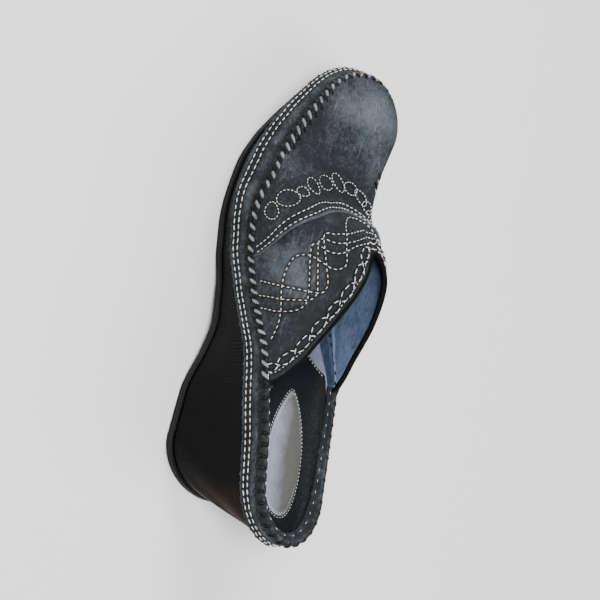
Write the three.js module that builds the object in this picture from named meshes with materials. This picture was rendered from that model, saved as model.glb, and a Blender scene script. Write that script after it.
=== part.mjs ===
// Leather mule, left shoe: a moccasin upper on a wedge sole, with a footbed and a heel pad.
// Millimetres. X runs from heel to toe, Y to the lateral (outer) side, Z up, and the floor is z = 0.
// A station is a share of the shoe's length, from the back of the heel (0) to the tip of the toe (1).
import * as THREE from 'three';

// Driving dimensions of the shoe
const LENGTH = 256;              // back of the heel to tip of the toe, at the band's lower edge
const BALL_WIDTH = 82;           // widest place, at the band's lower edge
const HEEL_HEIGHT = 55.5;        // floor to the band's lower edge, at the back of the heel
const PLATFORM = 21.5;           // floor to the band's lower edge, under the ball
const COLLAR_HEIGHT = 79;        // floor to the ridge of the upper, where the collar crosses it
const TOE_HEIGHT = 37.5;         // floor to the ridge of the upper, over the toes

// Sole
const OUTSOLE_THICKNESS = 4.5;
const OUTSOLE_EDGE = 1.2;       // bevel along the outsole's lower edge, and its height at the upper one
const OUTSOLE_EASING = 0.7;     // how far that upper bevel runs inwards
const OUTSOLE_LEDGE = 1.3;      // how far the outsole stands out from the wedge
const HEEL_RAKE = 16.5;         // how far the outsole's heel lies ahead of the band's
const RAKE_REACH = 95;          // length over which that difference fades out
const TOE_SETBACK = 2.5;        // how far the outsole's tip lies behind the band's
const TOE_REACH = 60;           // length over which that setback fades out
const SOLE_WIDTH = 74;          // widest place of the outsole
const ARCH_LIFT = 5;            // floor to the outsole's underside, at the arch
const TOE_SPRING = 11;          // floor to the outsole's underside, at the tip
const WEDGE_TUCK = 1.6;         // how far the wedge's top edge lies inside the band's raw edge

// Upper
const WALL = 2.2;               // leather and lining together
const COLLAR_WALL = 3.0;        // the folded edge along the collar
const BAND_RISE = 12;           // height of the band, raw edge to laced seam
const BAND_INSET = 5;           // how far the laced seam lies inside the raw edge
const RAW_EDGE_FLARE = 0.7;     // how far the raw edge stands out from the band
const SEAM_RIDGE = 0.8;         // height of the laced seam over the leather beside it
const SEAM_BULGE = 0.36;        // how far the laced seam stands out sideways
const BAND_CURVE = 1.5;         // how late the band leans inwards on its way up: 1 is straight
const VAMP_STEP = 1.1;          // step down from the vamp to the saddle that it overlaps
const VAMP_STEP_RUN = 1.2;      // length over which that step falls
const LIFT_GROWTH = 5;          // how soon the overlap grows to its full step, beside the seam
const RIDGE_SHIFT = 16;         // how far the ridge leans to the medial side, at the collar

// Footbed and pad
const CLEARANCE = 0.3;          // gap between curved pieces
const SOCK_THICKNESS = 3.6;     // footbed over the wedge, in the forefoot
const FOREFOOT_DEPTH = 6.5;     // hollow of wedge and footbed under the forefoot
const SOCK_DROP = 1.2;          // footbed's edge below the laced seam, at the heel
const CUP_DEPTH = 5.8;          // hollow of the footbed, at the heel
const PAD_THICKNESS = 1.8;
const PAD_LENGTH = 62;
const PAD_WIDTH = 24;
const PAD_HEEL = 14;            // back of the heel to the pad
const PAD_MIDDLE = 0;           // lateral place of the pad's middle line
const PAD_GAP = 0.45;           // under the pad, where the footbed is hollow
const PAD_TAPER = 0.22;         // how much narrower the pad is towards the toe
const CUP_EDGE = 6;             // steepness of the hollow's edge
const SOCK_EASING = 0.8;        // how far the footbed's top edge is eased inwards
const SOCK_SHOULDER = 0.8;      // share of the footbed's edge height where that easing starts
const LEAN = 1.2;               // level width of the leaning wall, for each unit of its thickness

// Roundness of the outlines' ends
const HEEL_ROUND = 28;
const SOLE_HEEL_ROUND = 26;
const TOE_ROUND = 50;
const SOLE_TOE_ROUND = 58;

// Band's lower edge: its middle and half width as shares of BALL_WIDTH, and its height above the
// platform as a share of the heel's rise. The ends are rounded by roundEnd.
const BAND = [
  { along: 0.00, middle: -0.032, half: 0.268, height: 1.00 },
  { along: 0.08, middle: -0.032, half: 0.268, height: 0.87 },
  { along: 0.16, middle: -0.027, half: 0.283, height: 0.74 },
  { along: 0.25, middle: 0.000, half: 0.310, height: 0.63 },
  { along: 0.34, middle: 0.017, half: 0.328, height: 0.48 },
  { along: 0.40, middle: 0.030, half: 0.337, height: 0.25 },
  { along: 0.47, middle: 0.054, half: 0.350, height: 0.00 },
  { along: 0.55, middle: 0.084, half: 0.388, height: -0.13 },
  { along: 0.61, middle: 0.088, half: 0.448, height: -0.09 },
  { along: 0.67, middle: 0.071, half: 0.493, height: -0.02 },
  { along: 0.73, middle: 0.048, half: 0.495, height: 0.03 },
  { along: 0.79, middle: 0.018, half: 0.470, height: 0.04 },
  { along: 0.84, middle: -0.023, half: 0.448, height: 0.05 },
  { along: 0.90, middle: -0.080, half: 0.448, height: 0.06 },
  { along: 1.00, middle: -0.127, half: 0.458, height: 0.07 },
];

// Outsole: middle and half width as shares of SOLE_WIDTH, lift as a share of ARCH_LIFT, and spring
// as a share of TOE_SPRING. Heel and ball both rest on the floor.
const OUTSOLE = [
  { along: 0.00, middle: 0.022, half: 0.410, lift: 0.0, spring: 0.00 },
  { along: 0.16, middle: 0.030, half: 0.424, lift: 0.0, spring: 0.00 },
  { along: 0.25, middle: 0.030, half: 0.424, lift: 0.0, spring: 0.00 },
  { along: 0.34, middle: 0.026, half: 0.388, lift: 0.70, spring: 0.00 },
  { along: 0.40, middle: 0.038, half: 0.364, lift: 1.00, spring: 0.00 },
  { along: 0.47, middle: 0.062, half: 0.366, lift: 0.60, spring: 0.00 },
  { along: 0.55, middle: 0.080, half: 0.404, lift: 0.0, spring: 0.00 },
  { along: 0.61, middle: 0.074, half: 0.452, lift: 0.0, spring: 0.00 },
  { along: 0.67, middle: 0.052, half: 0.478, lift: 0.0, spring: 0.00 },
  { along: 0.73, middle: 0.030, half: 0.484, lift: 0.0, spring: 0.05 },
  { along: 0.79, middle: -0.004, half: 0.466, lift: 0.0, spring: 0.20 },
  { along: 0.84, middle: -0.052, half: 0.460, lift: 0.0, spring: 0.38 },
  { along: 0.90, middle: -0.104, half: 0.464, lift: 0.0, spring: 0.62 },
  { along: 1.00, middle: -0.132, half: 0.470, lift: 0.0, spring: 1.00 },
];

// Laced seam: its inset and rise from the band's lower edge, as shares of BAND_INSET and BAND_RISE.
const SEAM = [
  { along: 0.00, inset: 0.25, rise: 0.90 },
  { along: 0.22, inset: 0.60, rise: 1.02 },
  { along: 0.42, inset: 0.45, rise: 1.02 },
  { along: 0.57, inset: 0.90, rise: 0.90 },
  { along: 0.71, inset: 1.85, rise: 1.00 },
  { along: 0.84, inset: 1.60, rise: 0.96 },
  { along: 1.00, inset: 0.95, rise: 0.76 },
];

// Ridge of the upper: its height as a share of the way from TOE_HEIGHT to COLLAR_HEIGHT, its shift as
// a share of RIDGE_SHIFT, and the fullness of the cross-section: 1 is a half ellipse, less is squarer.
const RIDGE = [
  { along: 0.27, height: 0.55, shift: 1.00, fullness: 0.73 },
  { along: 0.36, height: 0.66, shift: 1.00, fullness: 0.73 },
  { along: 0.46, height: 0.92, shift: 1.00, fullness: 0.68 },
  { along: 0.52, height: 0.97, shift: 1.00, fullness: 0.64 },
  { along: 0.58, height: 0.85, shift: 0.92, fullness: 0.61 },
  { along: 0.64, height: 0.53, shift: 0.62, fullness: 0.58 },
  { along: 0.70, height: 0.16, shift: 0.45, fullness: 0.55 },
  { along: 0.78, height: -0.02, shift: 0.42, fullness: 0.53 },
  { along: 0.90, height: 0.01, shift: 0.45, fullness: 0.50 },
  { along: 0.96, height: 0.02, shift: 0.45, fullness: 0.49 },
  { along: 1.00, height: 0.00, shift: 0.45, fullness: 0.49 },
];

// Collar and vamp's rear edge: stations by the angle around the upper, as a share of the half turn
// from the lateral seam (0) over the ridge (0.5) to the medial seam (1).
const COLLAR = [
  { turn: 0.000, collar: 0.278, vamp: 0.525 },
  { turn: 0.125, collar: 0.294, vamp: 0.581 },
  { turn: 0.250, collar: 0.345, vamp: 0.621 },
  { turn: 0.375, collar: 0.475, vamp: 0.649 },
  { turn: 0.500, collar: 0.582, vamp: 0.667 },
  { turn: 0.625, collar: 0.545, vamp: 0.657 },
  { turn: 0.750, collar: 0.450, vamp: 0.629 },
  { turn: 0.875, collar: 0.364, vamp: 0.579 },
  { turn: 1.000, collar: 0.324, vamp: 0.511 },
];

// Footbed: how much of the heel's cupped form it has, and of the hollow under the forefoot.
const FOOTBED = [
  { along: 0.00, heelForm: 1.00, forefoot: 0.00 },
  { along: 0.26, heelForm: 1.00, forefoot: 0.00 },
  { along: 0.38, heelForm: 0.38, forefoot: 0.20 },
  { along: 0.48, heelForm: 0.00, forefoot: 0.80 },
  { along: 0.58, heelForm: 0.00, forefoot: 1.00 },
  { along: 0.88, heelForm: 0.00, forefoot: 1.00 },
  { along: 1.00, heelForm: 0.00, forefoot: 0.40 },
];

// Facets
const HEEL_STATIONS = 11;
const SADDLE_STATIONS = 10;
const VAMP_STATIONS = 15;
const TURNS = 26;               // around the upper, seam to seam
const BAND_STEPS = [0, 0.16, 0.5, 0.82, 1];
const CAP_STEPS = 4;
const CUP_STEPS = 10;
const RIM_STEPS = 3;
const PAD_SIDES = 28;
const CLUSTER = 1.6;            // crowding of the stations towards heel and toe
const WEDGE_LEVELS = [0, 0.33, 0.67, 1];
const NEARBY = 0.002;           // share of the length over which an outline's direction is taken
const SOCK_TRIES = 5;           // steps to find the station under a point of the pad
const PAD_DOME = [
  { reach: 0.00, height: 1.00 },
  { reach: 0.45, height: 0.96 },
  { reach: 0.75, height: 0.82 },
  { reach: 0.93, height: 0.58 },
  { reach: 1.00, height: 0.30 },
];

const mix = (a, b, share) => a + (b - a) * share;

// One column of a table as a smooth curve that never overshoots its rows.
function column(rows, key, place = 'along') {
  const x = rows.map((row) => row[place]);
  const y = rows.map((row) => row[key]);
  const slope = x.slice(1).map((next, i) => (y[i + 1] - y[i]) / (next - x[i]));
  const tangent = x.map((_, i) => {
    if (i === 0) return slope[0];
    if (i === x.length - 1) return slope[i - 1];
    if (slope[i - 1] * slope[i] <= 0) return 0;
    return 2 * slope[i - 1] * slope[i] / (slope[i - 1] + slope[i]);
  });
  return (at) => {
    const last = x.length - 2;
    const found = x.findIndex((next, i) => i > 0 && at < next) - 1;
    const i = found < 0 ? (at <= x[0] ? 0 : last) : found;
    const width = x[i + 1] - x[i];
    const s = THREE.MathUtils.clamp((at - x[i]) / width, 0, 1);
    const rise = y[i + 1] - y[i];
    const a = tangent[i] * width - rise;
    const b = rise - tangent[i + 1] * width;
    return mix(y[i], y[i + 1], s) + s * (1 - s) * (a * (1 - s) + b * s);
  };
}

// Elliptical ending of an outline, at a distance from its end.
function roundEnd(distance, reach) {
  const s = THREE.MathUtils.clamp(distance / reach, 0, 1);
  return Math.sqrt(1 - (1 - s) ** 2);
}

const bandMiddle = column(BAND, 'middle');
const bandHalf = column(BAND, 'half');
const bandHeight = column(BAND, 'height');
const soleMiddle = column(OUTSOLE, 'middle');
const soleHalf = column(OUTSOLE, 'half');
const soleLift = column(OUTSOLE, 'lift');
const soleSpring = column(OUTSOLE, 'spring');
const seamInset = column(SEAM, 'inset');
const seamRise = column(SEAM, 'rise');
const ridgeShare = column(RIDGE, 'height');
const ridgeShift = column(RIDGE, 'shift');
const ridgeFullness = column(RIDGE, 'fullness');
const collarStation = column(COLLAR, 'collar', 'turn');
const vampStation = column(COLLAR, 'vamp', 'turn');
const heelForm = column(FOOTBED, 'heelForm');
const forefootForm = column(FOOTBED, 'forefoot');

// Height of the band's lower edge, and of the outsole's underside, over the floor at x.
const ledge = (x) => PLATFORM + (HEEL_HEIGHT - PLATFORM) * bandHeight(x / LENGTH);
const underside = (x) => ARCH_LIFT * soleLift(x / LENGTH) + TOE_SPRING * soleSpring(x / LENGTH);

// A point of the band's lower edge. Side is 1 on the lateral and -1 on the medial side.
function bandEdge(station, side) {
  const x = station * LENGTH;
  const half = BALL_WIDTH * bandHalf(station) * roundEnd(x, HEEL_ROUND) * roundEnd(LENGTH - x, TOE_ROUND);
  return new THREE.Vector2(x, BALL_WIDTH * bandMiddle(station) + side * half);
}

// The same station on the outsole's outline, which starts ahead of the band and ends behind it.
function soleEdge(station, side) {
  const back = Math.max(0, 1 - station * LENGTH / RAKE_REACH) ** 2;
  const front = Math.max(0, 1 - (1 - station) * LENGTH / TOE_REACH) ** 2;
  const x = station * LENGTH + HEEL_RAKE * back - TOE_SETBACK * front;
  const half = SOLE_WIDTH * soleHalf(x / LENGTH)
    * roundEnd(x - HEEL_RAKE, SOLE_HEEL_ROUND) * roundEnd(LENGTH - TOE_SETBACK - x, SOLE_TOE_ROUND);
  return new THREE.Vector2(x, SOLE_WIDTH * soleMiddle(x / LENGTH) + side * half);
}

// A point of an outline moved inwards, square to the outline.
function inset(edge, station, side, distance) {
  const point = edge(station, side);
  const ahead = edge(Math.min(1, station + NEARBY), side);
  const behind = edge(Math.max(0, station - NEARBY), side);
  const along = ahead.sub(behind).normalize();
  const inwards = new THREE.Vector2(side * along.y, -side * along.x);
  if (station === 0) inwards.set(1, 0);
  if (station === 1) inwards.set(-1, 0);
  return point.addScaledVector(inwards, distance);
}

// A point of the band, from its lower edge (0) to the laced seam (1), moved inwards by a depth.
function bandPoint(station, side, up, depth = 0) {
  const surface = depth > 0 ? 0 : 1;
  const flare = surface * Math.max(0, 1 - up / BAND_STEPS[1]);
  const ridge = surface * Math.max(0, (up - BAND_STEPS[3]) / (1 - BAND_STEPS[3]));
  const lean = BAND_INSET * seamInset(station) * up ** BAND_CURVE;
  const outer = RAW_EDGE_FLARE * flare + SEAM_BULGE * ridge;
  const plan = inset(bandEdge, station, side, lean + depth - outer);
  const rise = BAND_RISE * seamRise(station) * up + SEAM_RIDGE * ridge;
  return new THREE.Vector3(plan.x, plan.y, ledge(station * LENGTH) + rise);
}

// Ridge height over the floor.
const ridgeHeight = (station) => mix(TOE_HEIGHT, COLLAR_HEIGHT, ridgeShare(station));

// A point of the upper above the seam. Turn is 0 at the lateral seam and 1 at the medial one, and the
// lift of an overlapping piece dies away at the seam.
function vampPoint(station, turn, lift = 0) {
  const lateral = bandPoint(station, 1, 1);
  const medial = bandPoint(station, -1, 1);
  const angle = Math.PI * turn;
  const across = 0.5 * (1 - Math.cos(angle));
  const point = lateral.clone().lerp(medial, across);
  const over = Math.sin(angle);
  const crown = ridgeHeight(station) - 0.5 * (lateral.z + medial.z);
  const taper = roundEnd((1 - station) * LENGTH, TOE_ROUND);
  point.y -= RIDGE_SHIFT * ridgeShift(station) * over ** 2 * taper;
  point.z += Math.max(0, crown) * Math.max(0, over) ** ridgeFullness(station) * taper;
  const out = lift * Math.min(1, LIFT_GROWTH * over);
  point.y += out * Math.cos(angle);
  point.z += out * over;
  return point;
}

// Triangles that share their corners wherever two corners meet.
class Skin {
  constructor() {
    this.points = [];
    this.faces = [];
    this.seen = new Map();
  }

  corner(point) {
    const key = [point.x, point.y, point.z].map((value) => Math.round(value * 1e4)).join();
    if (!this.seen.has(key)) {
      this.seen.set(key, this.points.length);
      this.points.push(point.clone());
    }
    return this.seen.get(key);
  }

  triangle(a, b, c) {
    if (a !== b && b !== c && c !== a) this.faces.push([a, b, c]);
  }

  quad(a, b, c, d) {
    const first = this.points[a].distanceTo(this.points[c]);
    const second = this.points[b].distanceTo(this.points[d]);
    if (first <= second) {
      this.triangle(a, b, c);
      this.triangle(a, c, d);
    } else {
      this.triangle(a, b, d);
      this.triangle(b, c, d);
    }
  }

  // Rows of points, all of one length. Faces look along row direction x column direction.
  grid(rows) {
    const ids = rows.map((row) => row.map((point) => this.corner(point)));
    for (let i = 0; i + 1 < ids.length; i += 1) {
      for (let j = 0; j + 1 < ids[i].length; j += 1) {
        this.quad(ids[i][j], ids[i + 1][j], ids[i + 1][j + 1], ids[i][j + 1]);
      }
    }
  }

  geometry() {
    let volume = 0;
    for (const [a, b, c] of this.faces) {
      const [p, q, r] = [this.points[a], this.points[b], this.points[c]];
      volume += p.dot(new THREE.Vector3().crossVectors(q, r));
    }
    const faces = volume < 0 ? this.faces.map(([a, b, c]) => [a, c, b]) : this.faces;
    const geometry = new THREE.BufferGeometry();
    const values = this.points.flatMap((point) => [point.x, point.y, point.z]);
    geometry.setAttribute('position', new THREE.Float32BufferAttribute(values, 3));
    geometry.setIndex(faces.flat());
    geometry.computeVertexNormals();
    return geometry;
  }
}

// Turns an open skin into a shell: an inner skin lies behind it, and rims join the two along every
// open edge. Fullness is 1 for a half-round rim and 0 for a flat one.
function thicken(skin, innerPoint, fullness) {
  const normals = skin.points.map(() => new THREE.Vector3());
  const edges = new Map();
  for (const face of skin.faces) {
    const [p, q, r] = face.map((id) => skin.points[id]);
    const square = new THREE.Vector3().crossVectors(q.clone().sub(p), r.clone().sub(p));
    face.forEach((id, i) => {
      normals[id].add(square);
      edges.set(`${id},${face[(i + 1) % 3]}`, [id, face[(i + 1) % 3]]);
    });
  }
  normals.forEach((normal) => normal.normalize());
  const rim = [...edges.values()].filter(([a, b]) => !edges.has(`${b},${a}`));
  const outwards = new Map(rim.flat().map((id) => [id, new THREE.Vector3()]));
  for (const [a, b] of rim) {
    const along = skin.points[b].clone().sub(skin.points[a]);
    const upright = normals[a].clone().add(normals[b]);
    const away = along.cross(upright).normalize();
    outwards.get(a).add(away);
    outwards.get(b).add(away);
  }
  const shell = new Skin();
  const outer = skin.points.map((point) => shell.corner(point));
  const innerPoints = skin.points.map((point, id) => innerPoint(id, point, normals[id]));
  const inner = innerPoints.map((point) => shell.corner(point));
  for (const [a, b, c] of skin.faces) {
    shell.triangle(outer[a], outer[b], outer[c]);
    shell.triangle(inner[a], inner[c], inner[b]);
  }
  const rounds = new Map([...outwards].map(([id, out]) => {
    const centre = skin.points[id].clone().lerp(innerPoints[id], 0.5);
    const half = skin.points[id].clone().sub(centre);
    const bulge = out.normalize().multiplyScalar(half.length() * fullness(id));
    const corners = Array.from({ length: RIM_STEPS - 1 }, (_, step) => {
      const turn = Math.PI * (step + 1) / RIM_STEPS;
      const point = centre.clone().addScaledVector(half, Math.cos(turn));
      return shell.corner(point.addScaledVector(bulge, Math.sin(turn)));
    });
    return [id, [outer[id], ...corners, inner[id]]];
  }));
  for (const [a, b] of rim) {
    const [from, to] = [rounds.get(a), rounds.get(b)];
    for (let step = 0; step < RIM_STEPS; step += 1) {
      shell.quad(from[step], from[step + 1], to[step + 1], to[step]);
    }
  }
  return shell;
}

// Stations along the upper for one turn around it: the saddle from the collar, then the step, then
// the vamp, closer together at the toe.
function stationsOf(turn) {
  const collar = collarStation(turn);
  const run = 0.5 * VAMP_STEP_RUN / LENGTH;
  const before = vampStation(turn) - run;
  const after = vampStation(turn) + run;
  const saddle = Array.from({ length: SADDLE_STATIONS + 1 }, (_, i) => (
    mix(collar, before, i / SADDLE_STATIONS)
  ));
  const vamp = Array.from({ length: VAMP_STATIONS + 1 }, (_, i) => (
    1 - (1 - after) * (1 - i / VAMP_STATIONS) ** CLUSTER
  ));
  return [...saddle, ...vamp];
}

// Stations of one side, from the heel to the toe.
function sideStations(turn) {
  const collar = collarStation(turn);
  const heel = Array.from({ length: HEEL_STATIONS }, (_, i) => (
    collar * (i / HEEL_STATIONS) ** CLUSTER
  ));
  return [...heel, ...stationsOf(turn)];
}

const LATERAL = sideStations(0);
const MEDIAL = sideStations(1);

// The upper: band, saddle and vamp in one wall, open at the collar and underneath.
function upper() {
  const skin = new Skin();
  const down = [...BAND_STEPS].reverse();
  skin.grid(LATERAL.map((station) => down.map((up) => bandPoint(station, 1, up))));
  skin.grid(MEDIAL.map((station) => BAND_STEPS.map((up) => bandPoint(station, -1, up))));
  const turns = Array.from({ length: TURNS + 1 }, (_, i) => 1 - i / TURNS);
  const columns = turns.map((turn) => stationsOf(turn).map((station, i) => (
    vampPoint(station, turn, i > SADDLE_STATIONS ? VAMP_STEP : 0)
  )));
  skin.grid(columns[0].map((_, i) => columns.map((points) => points[i])));
  const lower = new Map();
  for (const [stations, side] of [[LATERAL, 1], [MEDIAL, -1]]) {
    for (const station of stations) {
      lower.set(skin.corner(bandPoint(station, side, 0)), bandPoint(station, side, 0, WALL));
    }
  }
  const collar = new Set(columns.map((points) => skin.corner(points[0])));
  const inner = (id, point, normal) => (
    lower.get(id) ?? point.clone().addScaledVector(normal, collar.has(id) ? -COLLAR_WALL : -WALL)
  );
  return thicken(skin, inner, (id) => (lower.has(id) ? 0 : 1)).geometry();
}

// A row of points from one to another, with a rise that is zero at both ends.
function across(from, to, steps, rise) {
  return Array.from({ length: steps + 1 }, (_, i) => {
    const point = from.clone().lerp(to, i / steps);
    point.z += rise(i / steps);
    return point;
  });
}

// A solid from the heel to the toe. Levels are its outlines from the lowest to the highest, each a
// function of station and side. Crown and base are how far its top and its underside rise between
// the sides.
function slab(levels, steps, crown, base) {
  const body = new Skin();
  body.grid(LATERAL.map((station) => {
    const left = levels.map((level) => level(station, 1));
    const right = levels.map((level) => level(station, -1));
    const top = across(right.at(-1), left.at(-1), steps, (share) => crown(station, share));
    const bottom = across(left[0], right[0], steps, (share) => base(station, share));
    return [...top, ...left.reverse().slice(1), ...bottom.slice(1), ...right.slice(1)];
  }));
  return body.geometry();
}

const flat = () => 0;

// A trough between the sides, with a rounded end at heel and toe.
function trough(station, share) {
  const ends = roundEnd(station * LENGTH, HEEL_ROUND) * roundEnd((1 - station) * LENGTH, TOE_ROUND);
  return -(1 - Math.abs(2 * share - 1) ** CUP_EDGE) * ends;
}

const hollow = (station, share) => FOREFOOT_DEPTH * forefootForm(station) * trough(station, share);
const cup = (station, share) => (
  hollow(station, share) + CUP_DEPTH * heelForm(station) * trough(station, share)
);

const raise = (plan, z) => new THREE.Vector3(plan.x, plan.y, z);

// One outline of the outsole: inset from its side, at a height over its underside.
function soleLevel(distance, height) {
  return (station, side) => {
    const plan = inset(soleEdge, station, side, distance);
    return raise(plan, underside(plan.x) + height);
  };
}

function outsole() {
  return slab([
    soleLevel(OUTSOLE_EDGE, 0),
    soleLevel(0, OUTSOLE_EDGE),
    soleLevel(0, OUTSOLE_THICKNESS - OUTSOLE_EDGE),
    soleLevel(OUTSOLE_EASING, OUTSOLE_THICKNESS),
  ], CAP_STEPS, flat, flat);
}

// The wedge's side runs from the outsole's ledge up to just inside the band's raw edge.
function wedge() {
  const foot = soleLevel(OUTSOLE_LEDGE, OUTSOLE_THICKNESS + CLEARANCE);
  const head = (station, side) => {
    const plan = inset(bandEdge, station, side, WEDGE_TUCK);
    return raise(plan, ledge(plan.x) - CLEARANCE);
  };
  const levels = WEDGE_LEVELS.map((share) => (station, side) => (
    foot(station, side).lerp(head(station, side), share)
  ));
  return slab(levels, CUP_STEPS, hollow, flat);
}

// Outline of the footbed at a share of its own height, inside the band.
function sockLevel(share, easing = 0) {
  return (station, side) => {
    const rise = BAND_RISE * seamRise(station);
    const height = mix(SOCK_THICKNESS, rise - SOCK_DROP, heelForm(station));
    return bandPoint(station, side, share * height / rise, WALL * LEAN + CLEARANCE + easing);
  };
}

const sockTop = sockLevel(1, SOCK_EASING);

function footbed() {
  return slab([sockLevel(0), sockLevel(SOCK_SHOULDER), sockTop], CUP_STEPS, cup, hollow);
}

// A point over the footbed, from its place along and across the shoe. The footbed's edge lies inside
// the band's, so its station there is found in a few steps.
function sockPoint(x, y, lift) {
  let station = x / LENGTH;
  let z = 0;
  for (let step = 0; step < SOCK_TRIES; step += 1) {
    const [left, right] = [sockTop(station, 1), sockTop(station, -1)];
    const share = (y - right.y) / (left.y - right.y);
    z = mix(right.z, left.z, share) + cup(station, share);
    station += (x - mix(right.x, left.x, share)) / LENGTH;
  }
  return new THREE.Vector3(x, y, z + lift);
}

// The oval pad at the heel, narrower towards the toe, domed on top.
function heelPad() {
  const centre = new THREE.Vector2(PAD_HEEL + 0.5 * PAD_LENGTH, PAD_MIDDLE);
  const ring = (reach, lift) => Array.from({ length: PAD_SIDES + 1 }, (_, i) => {
    const angle = 2 * Math.PI * i / PAD_SIDES;
    const x = centre.x + 0.5 * PAD_LENGTH * reach * Math.cos(angle);
    const y = centre.y + 0.5 * PAD_WIDTH * reach * Math.sin(angle) * (1 - PAD_TAPER * Math.cos(angle));
    return sockPoint(x, y, PAD_GAP + lift);
  });
  const body = new Skin();
  const top = PAD_DOME.map(({ reach, height }) => ring(reach, PAD_THICKNESS * height));
  const bottom = PAD_DOME.map(({ reach }) => ring(reach, 0)).reverse();
  body.grid([...top, ...bottom]);
  return body.geometry();
}

function piece(name, geometry, color, roughness) {
  const mesh = new THREE.Mesh(geometry, new THREE.MeshStandardMaterial({ color, roughness, metalness: 0 }));
  mesh.name = name;
  return mesh;
}

const shoe = new THREE.Group();
shoe.add(
  piece('outsole', outsole(), 0x151617, 0.6),
  piece('wedge', wedge(), 0x0d0d0e, 0.3),
  piece('upper', upper(), 0x3b3f45, 0.85),
  piece('footbed', footbed(), 0x16181c, 0.5),
  piece('heel_pad', heelPad(), 0x837b84, 0.6),
);

// The origin lies on the floor under the middle of the shoe.
const middle = new THREE.Box3().setFromObject(shoe).getCenter(new THREE.Vector3());
for (const mesh of shoe.children) mesh.geometry.translate(-middle.x, -middle.y, 0);

export default shoe;
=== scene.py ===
# %% [markdown]
# # A leather mule, left shoe
# The shoe is a slip-on with a closed toe and an open heel, on a wedge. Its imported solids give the
# frame: place and size. The looks could be modelled onto them by hand, but the solids come from a
# few curves, so each visible piece is built here from the same curves, only finer, and lies exactly
# where its solid does. All lengths are millimetres until a mesh is made. X runs from heel to toe,
# Y to the lateral side and Z up.

import math

import bmesh
import bpy
import numpy as np
from mathutils import Matrix, Vector
from mathutils.kdtree import KDTree


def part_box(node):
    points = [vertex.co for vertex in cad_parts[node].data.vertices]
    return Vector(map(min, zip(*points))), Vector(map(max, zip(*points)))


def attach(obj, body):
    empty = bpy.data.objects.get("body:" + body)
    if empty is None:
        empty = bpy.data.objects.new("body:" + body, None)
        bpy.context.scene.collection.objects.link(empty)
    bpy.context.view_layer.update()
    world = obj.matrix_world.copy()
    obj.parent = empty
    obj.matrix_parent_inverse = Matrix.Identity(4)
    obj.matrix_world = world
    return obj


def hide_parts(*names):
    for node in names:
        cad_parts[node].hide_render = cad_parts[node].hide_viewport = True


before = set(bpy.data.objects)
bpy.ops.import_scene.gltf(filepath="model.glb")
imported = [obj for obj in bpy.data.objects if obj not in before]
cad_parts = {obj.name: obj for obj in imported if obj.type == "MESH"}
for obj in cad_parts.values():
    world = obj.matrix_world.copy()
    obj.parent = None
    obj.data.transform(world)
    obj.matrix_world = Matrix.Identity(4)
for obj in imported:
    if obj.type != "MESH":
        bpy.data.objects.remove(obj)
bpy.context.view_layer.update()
MM = 0.001

# %% [markdown]
# ## Sizes and sections
# A last maker draws a shoe as a few curves along its length: how wide the feather edge is, how high
# it stands, how the upper rises above it. Such curves could be Bezier handles in the viewport. Here
# each is one column of a short table, read as a smooth line that never overshoots its rows, because
# a table can be measured, compared and scaled.

# %% Driving sizes
LENGTH = 256                         # back of the heel to tip of the toe
BALL_WIDTH = 82
HEEL_HEIGHT = 55.5                   # floor to the band's lower edge
PLATFORM = 21.5                      # the same at the ball
COLLAR_HEIGHT = 79
TOE_HEIGHT = 37.5

OUTSOLE_THICKNESS = 4.5
OUTSOLE_EDGE = 1.2                   # round of its lower edge
OUTSOLE_LEDGE = 1.3                  # how far it stands out from the wedge
HEEL_RAKE = 16.5                     # how far the wedge's foot lies ahead of the heel's back
RAKE_REACH = 95
TOE_SETBACK = 2.5
TOE_REACH = 60
SOLE_WIDTH = 74
ARCH_LIFT = 5
TOE_SPRING = 11
WEDGE_TUCK = 1.6                     # how far the wedge's top hides behind the band

WALL = 2.2                           # outer leather and lining
BAND_RISE = 12                       # raw edge to laced seam
BAND_INSET = 5
BAND_CURVE = 1.5
RAW_EDGE_FLARE = 0.7
VAMP_STEP = 1.1                      # how far the vamp stands over the saddle
LIFT_GROWTH = 5
RIDGE_SHIFT = 16

CLEARANCE = 0.3
SOCK_THICKNESS = 3.6
FOREFOOT_DEPTH = 6.5
SOCK_DROP = 1.2
CUP_DEPTH = 5.8
CUP_EDGE = 6
SOCK_INSET = 2.94
SOCK_EASING = 0.8
PAD_THICKNESS = 1.8
PAD_LENGTH = 62
PAD_WIDTH = 24
PAD_HEEL = 14                        # from the heel's back to the pad
PAD_TAPER = 0.22

HEEL_ROUND = 28
SOLE_HEEL_ROUND = 26
TOE_ROUND = 50
SOLE_TOE_ROUND = 58
print("sizes", LENGTH, "long,", BALL_WIDTH, "wide at the ball,", COLLAR_HEIGHT, "high")


# %% Tables of sections
def table(names, *rows):
    return [dict(zip(names.split(), row)) for row in rows]


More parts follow.
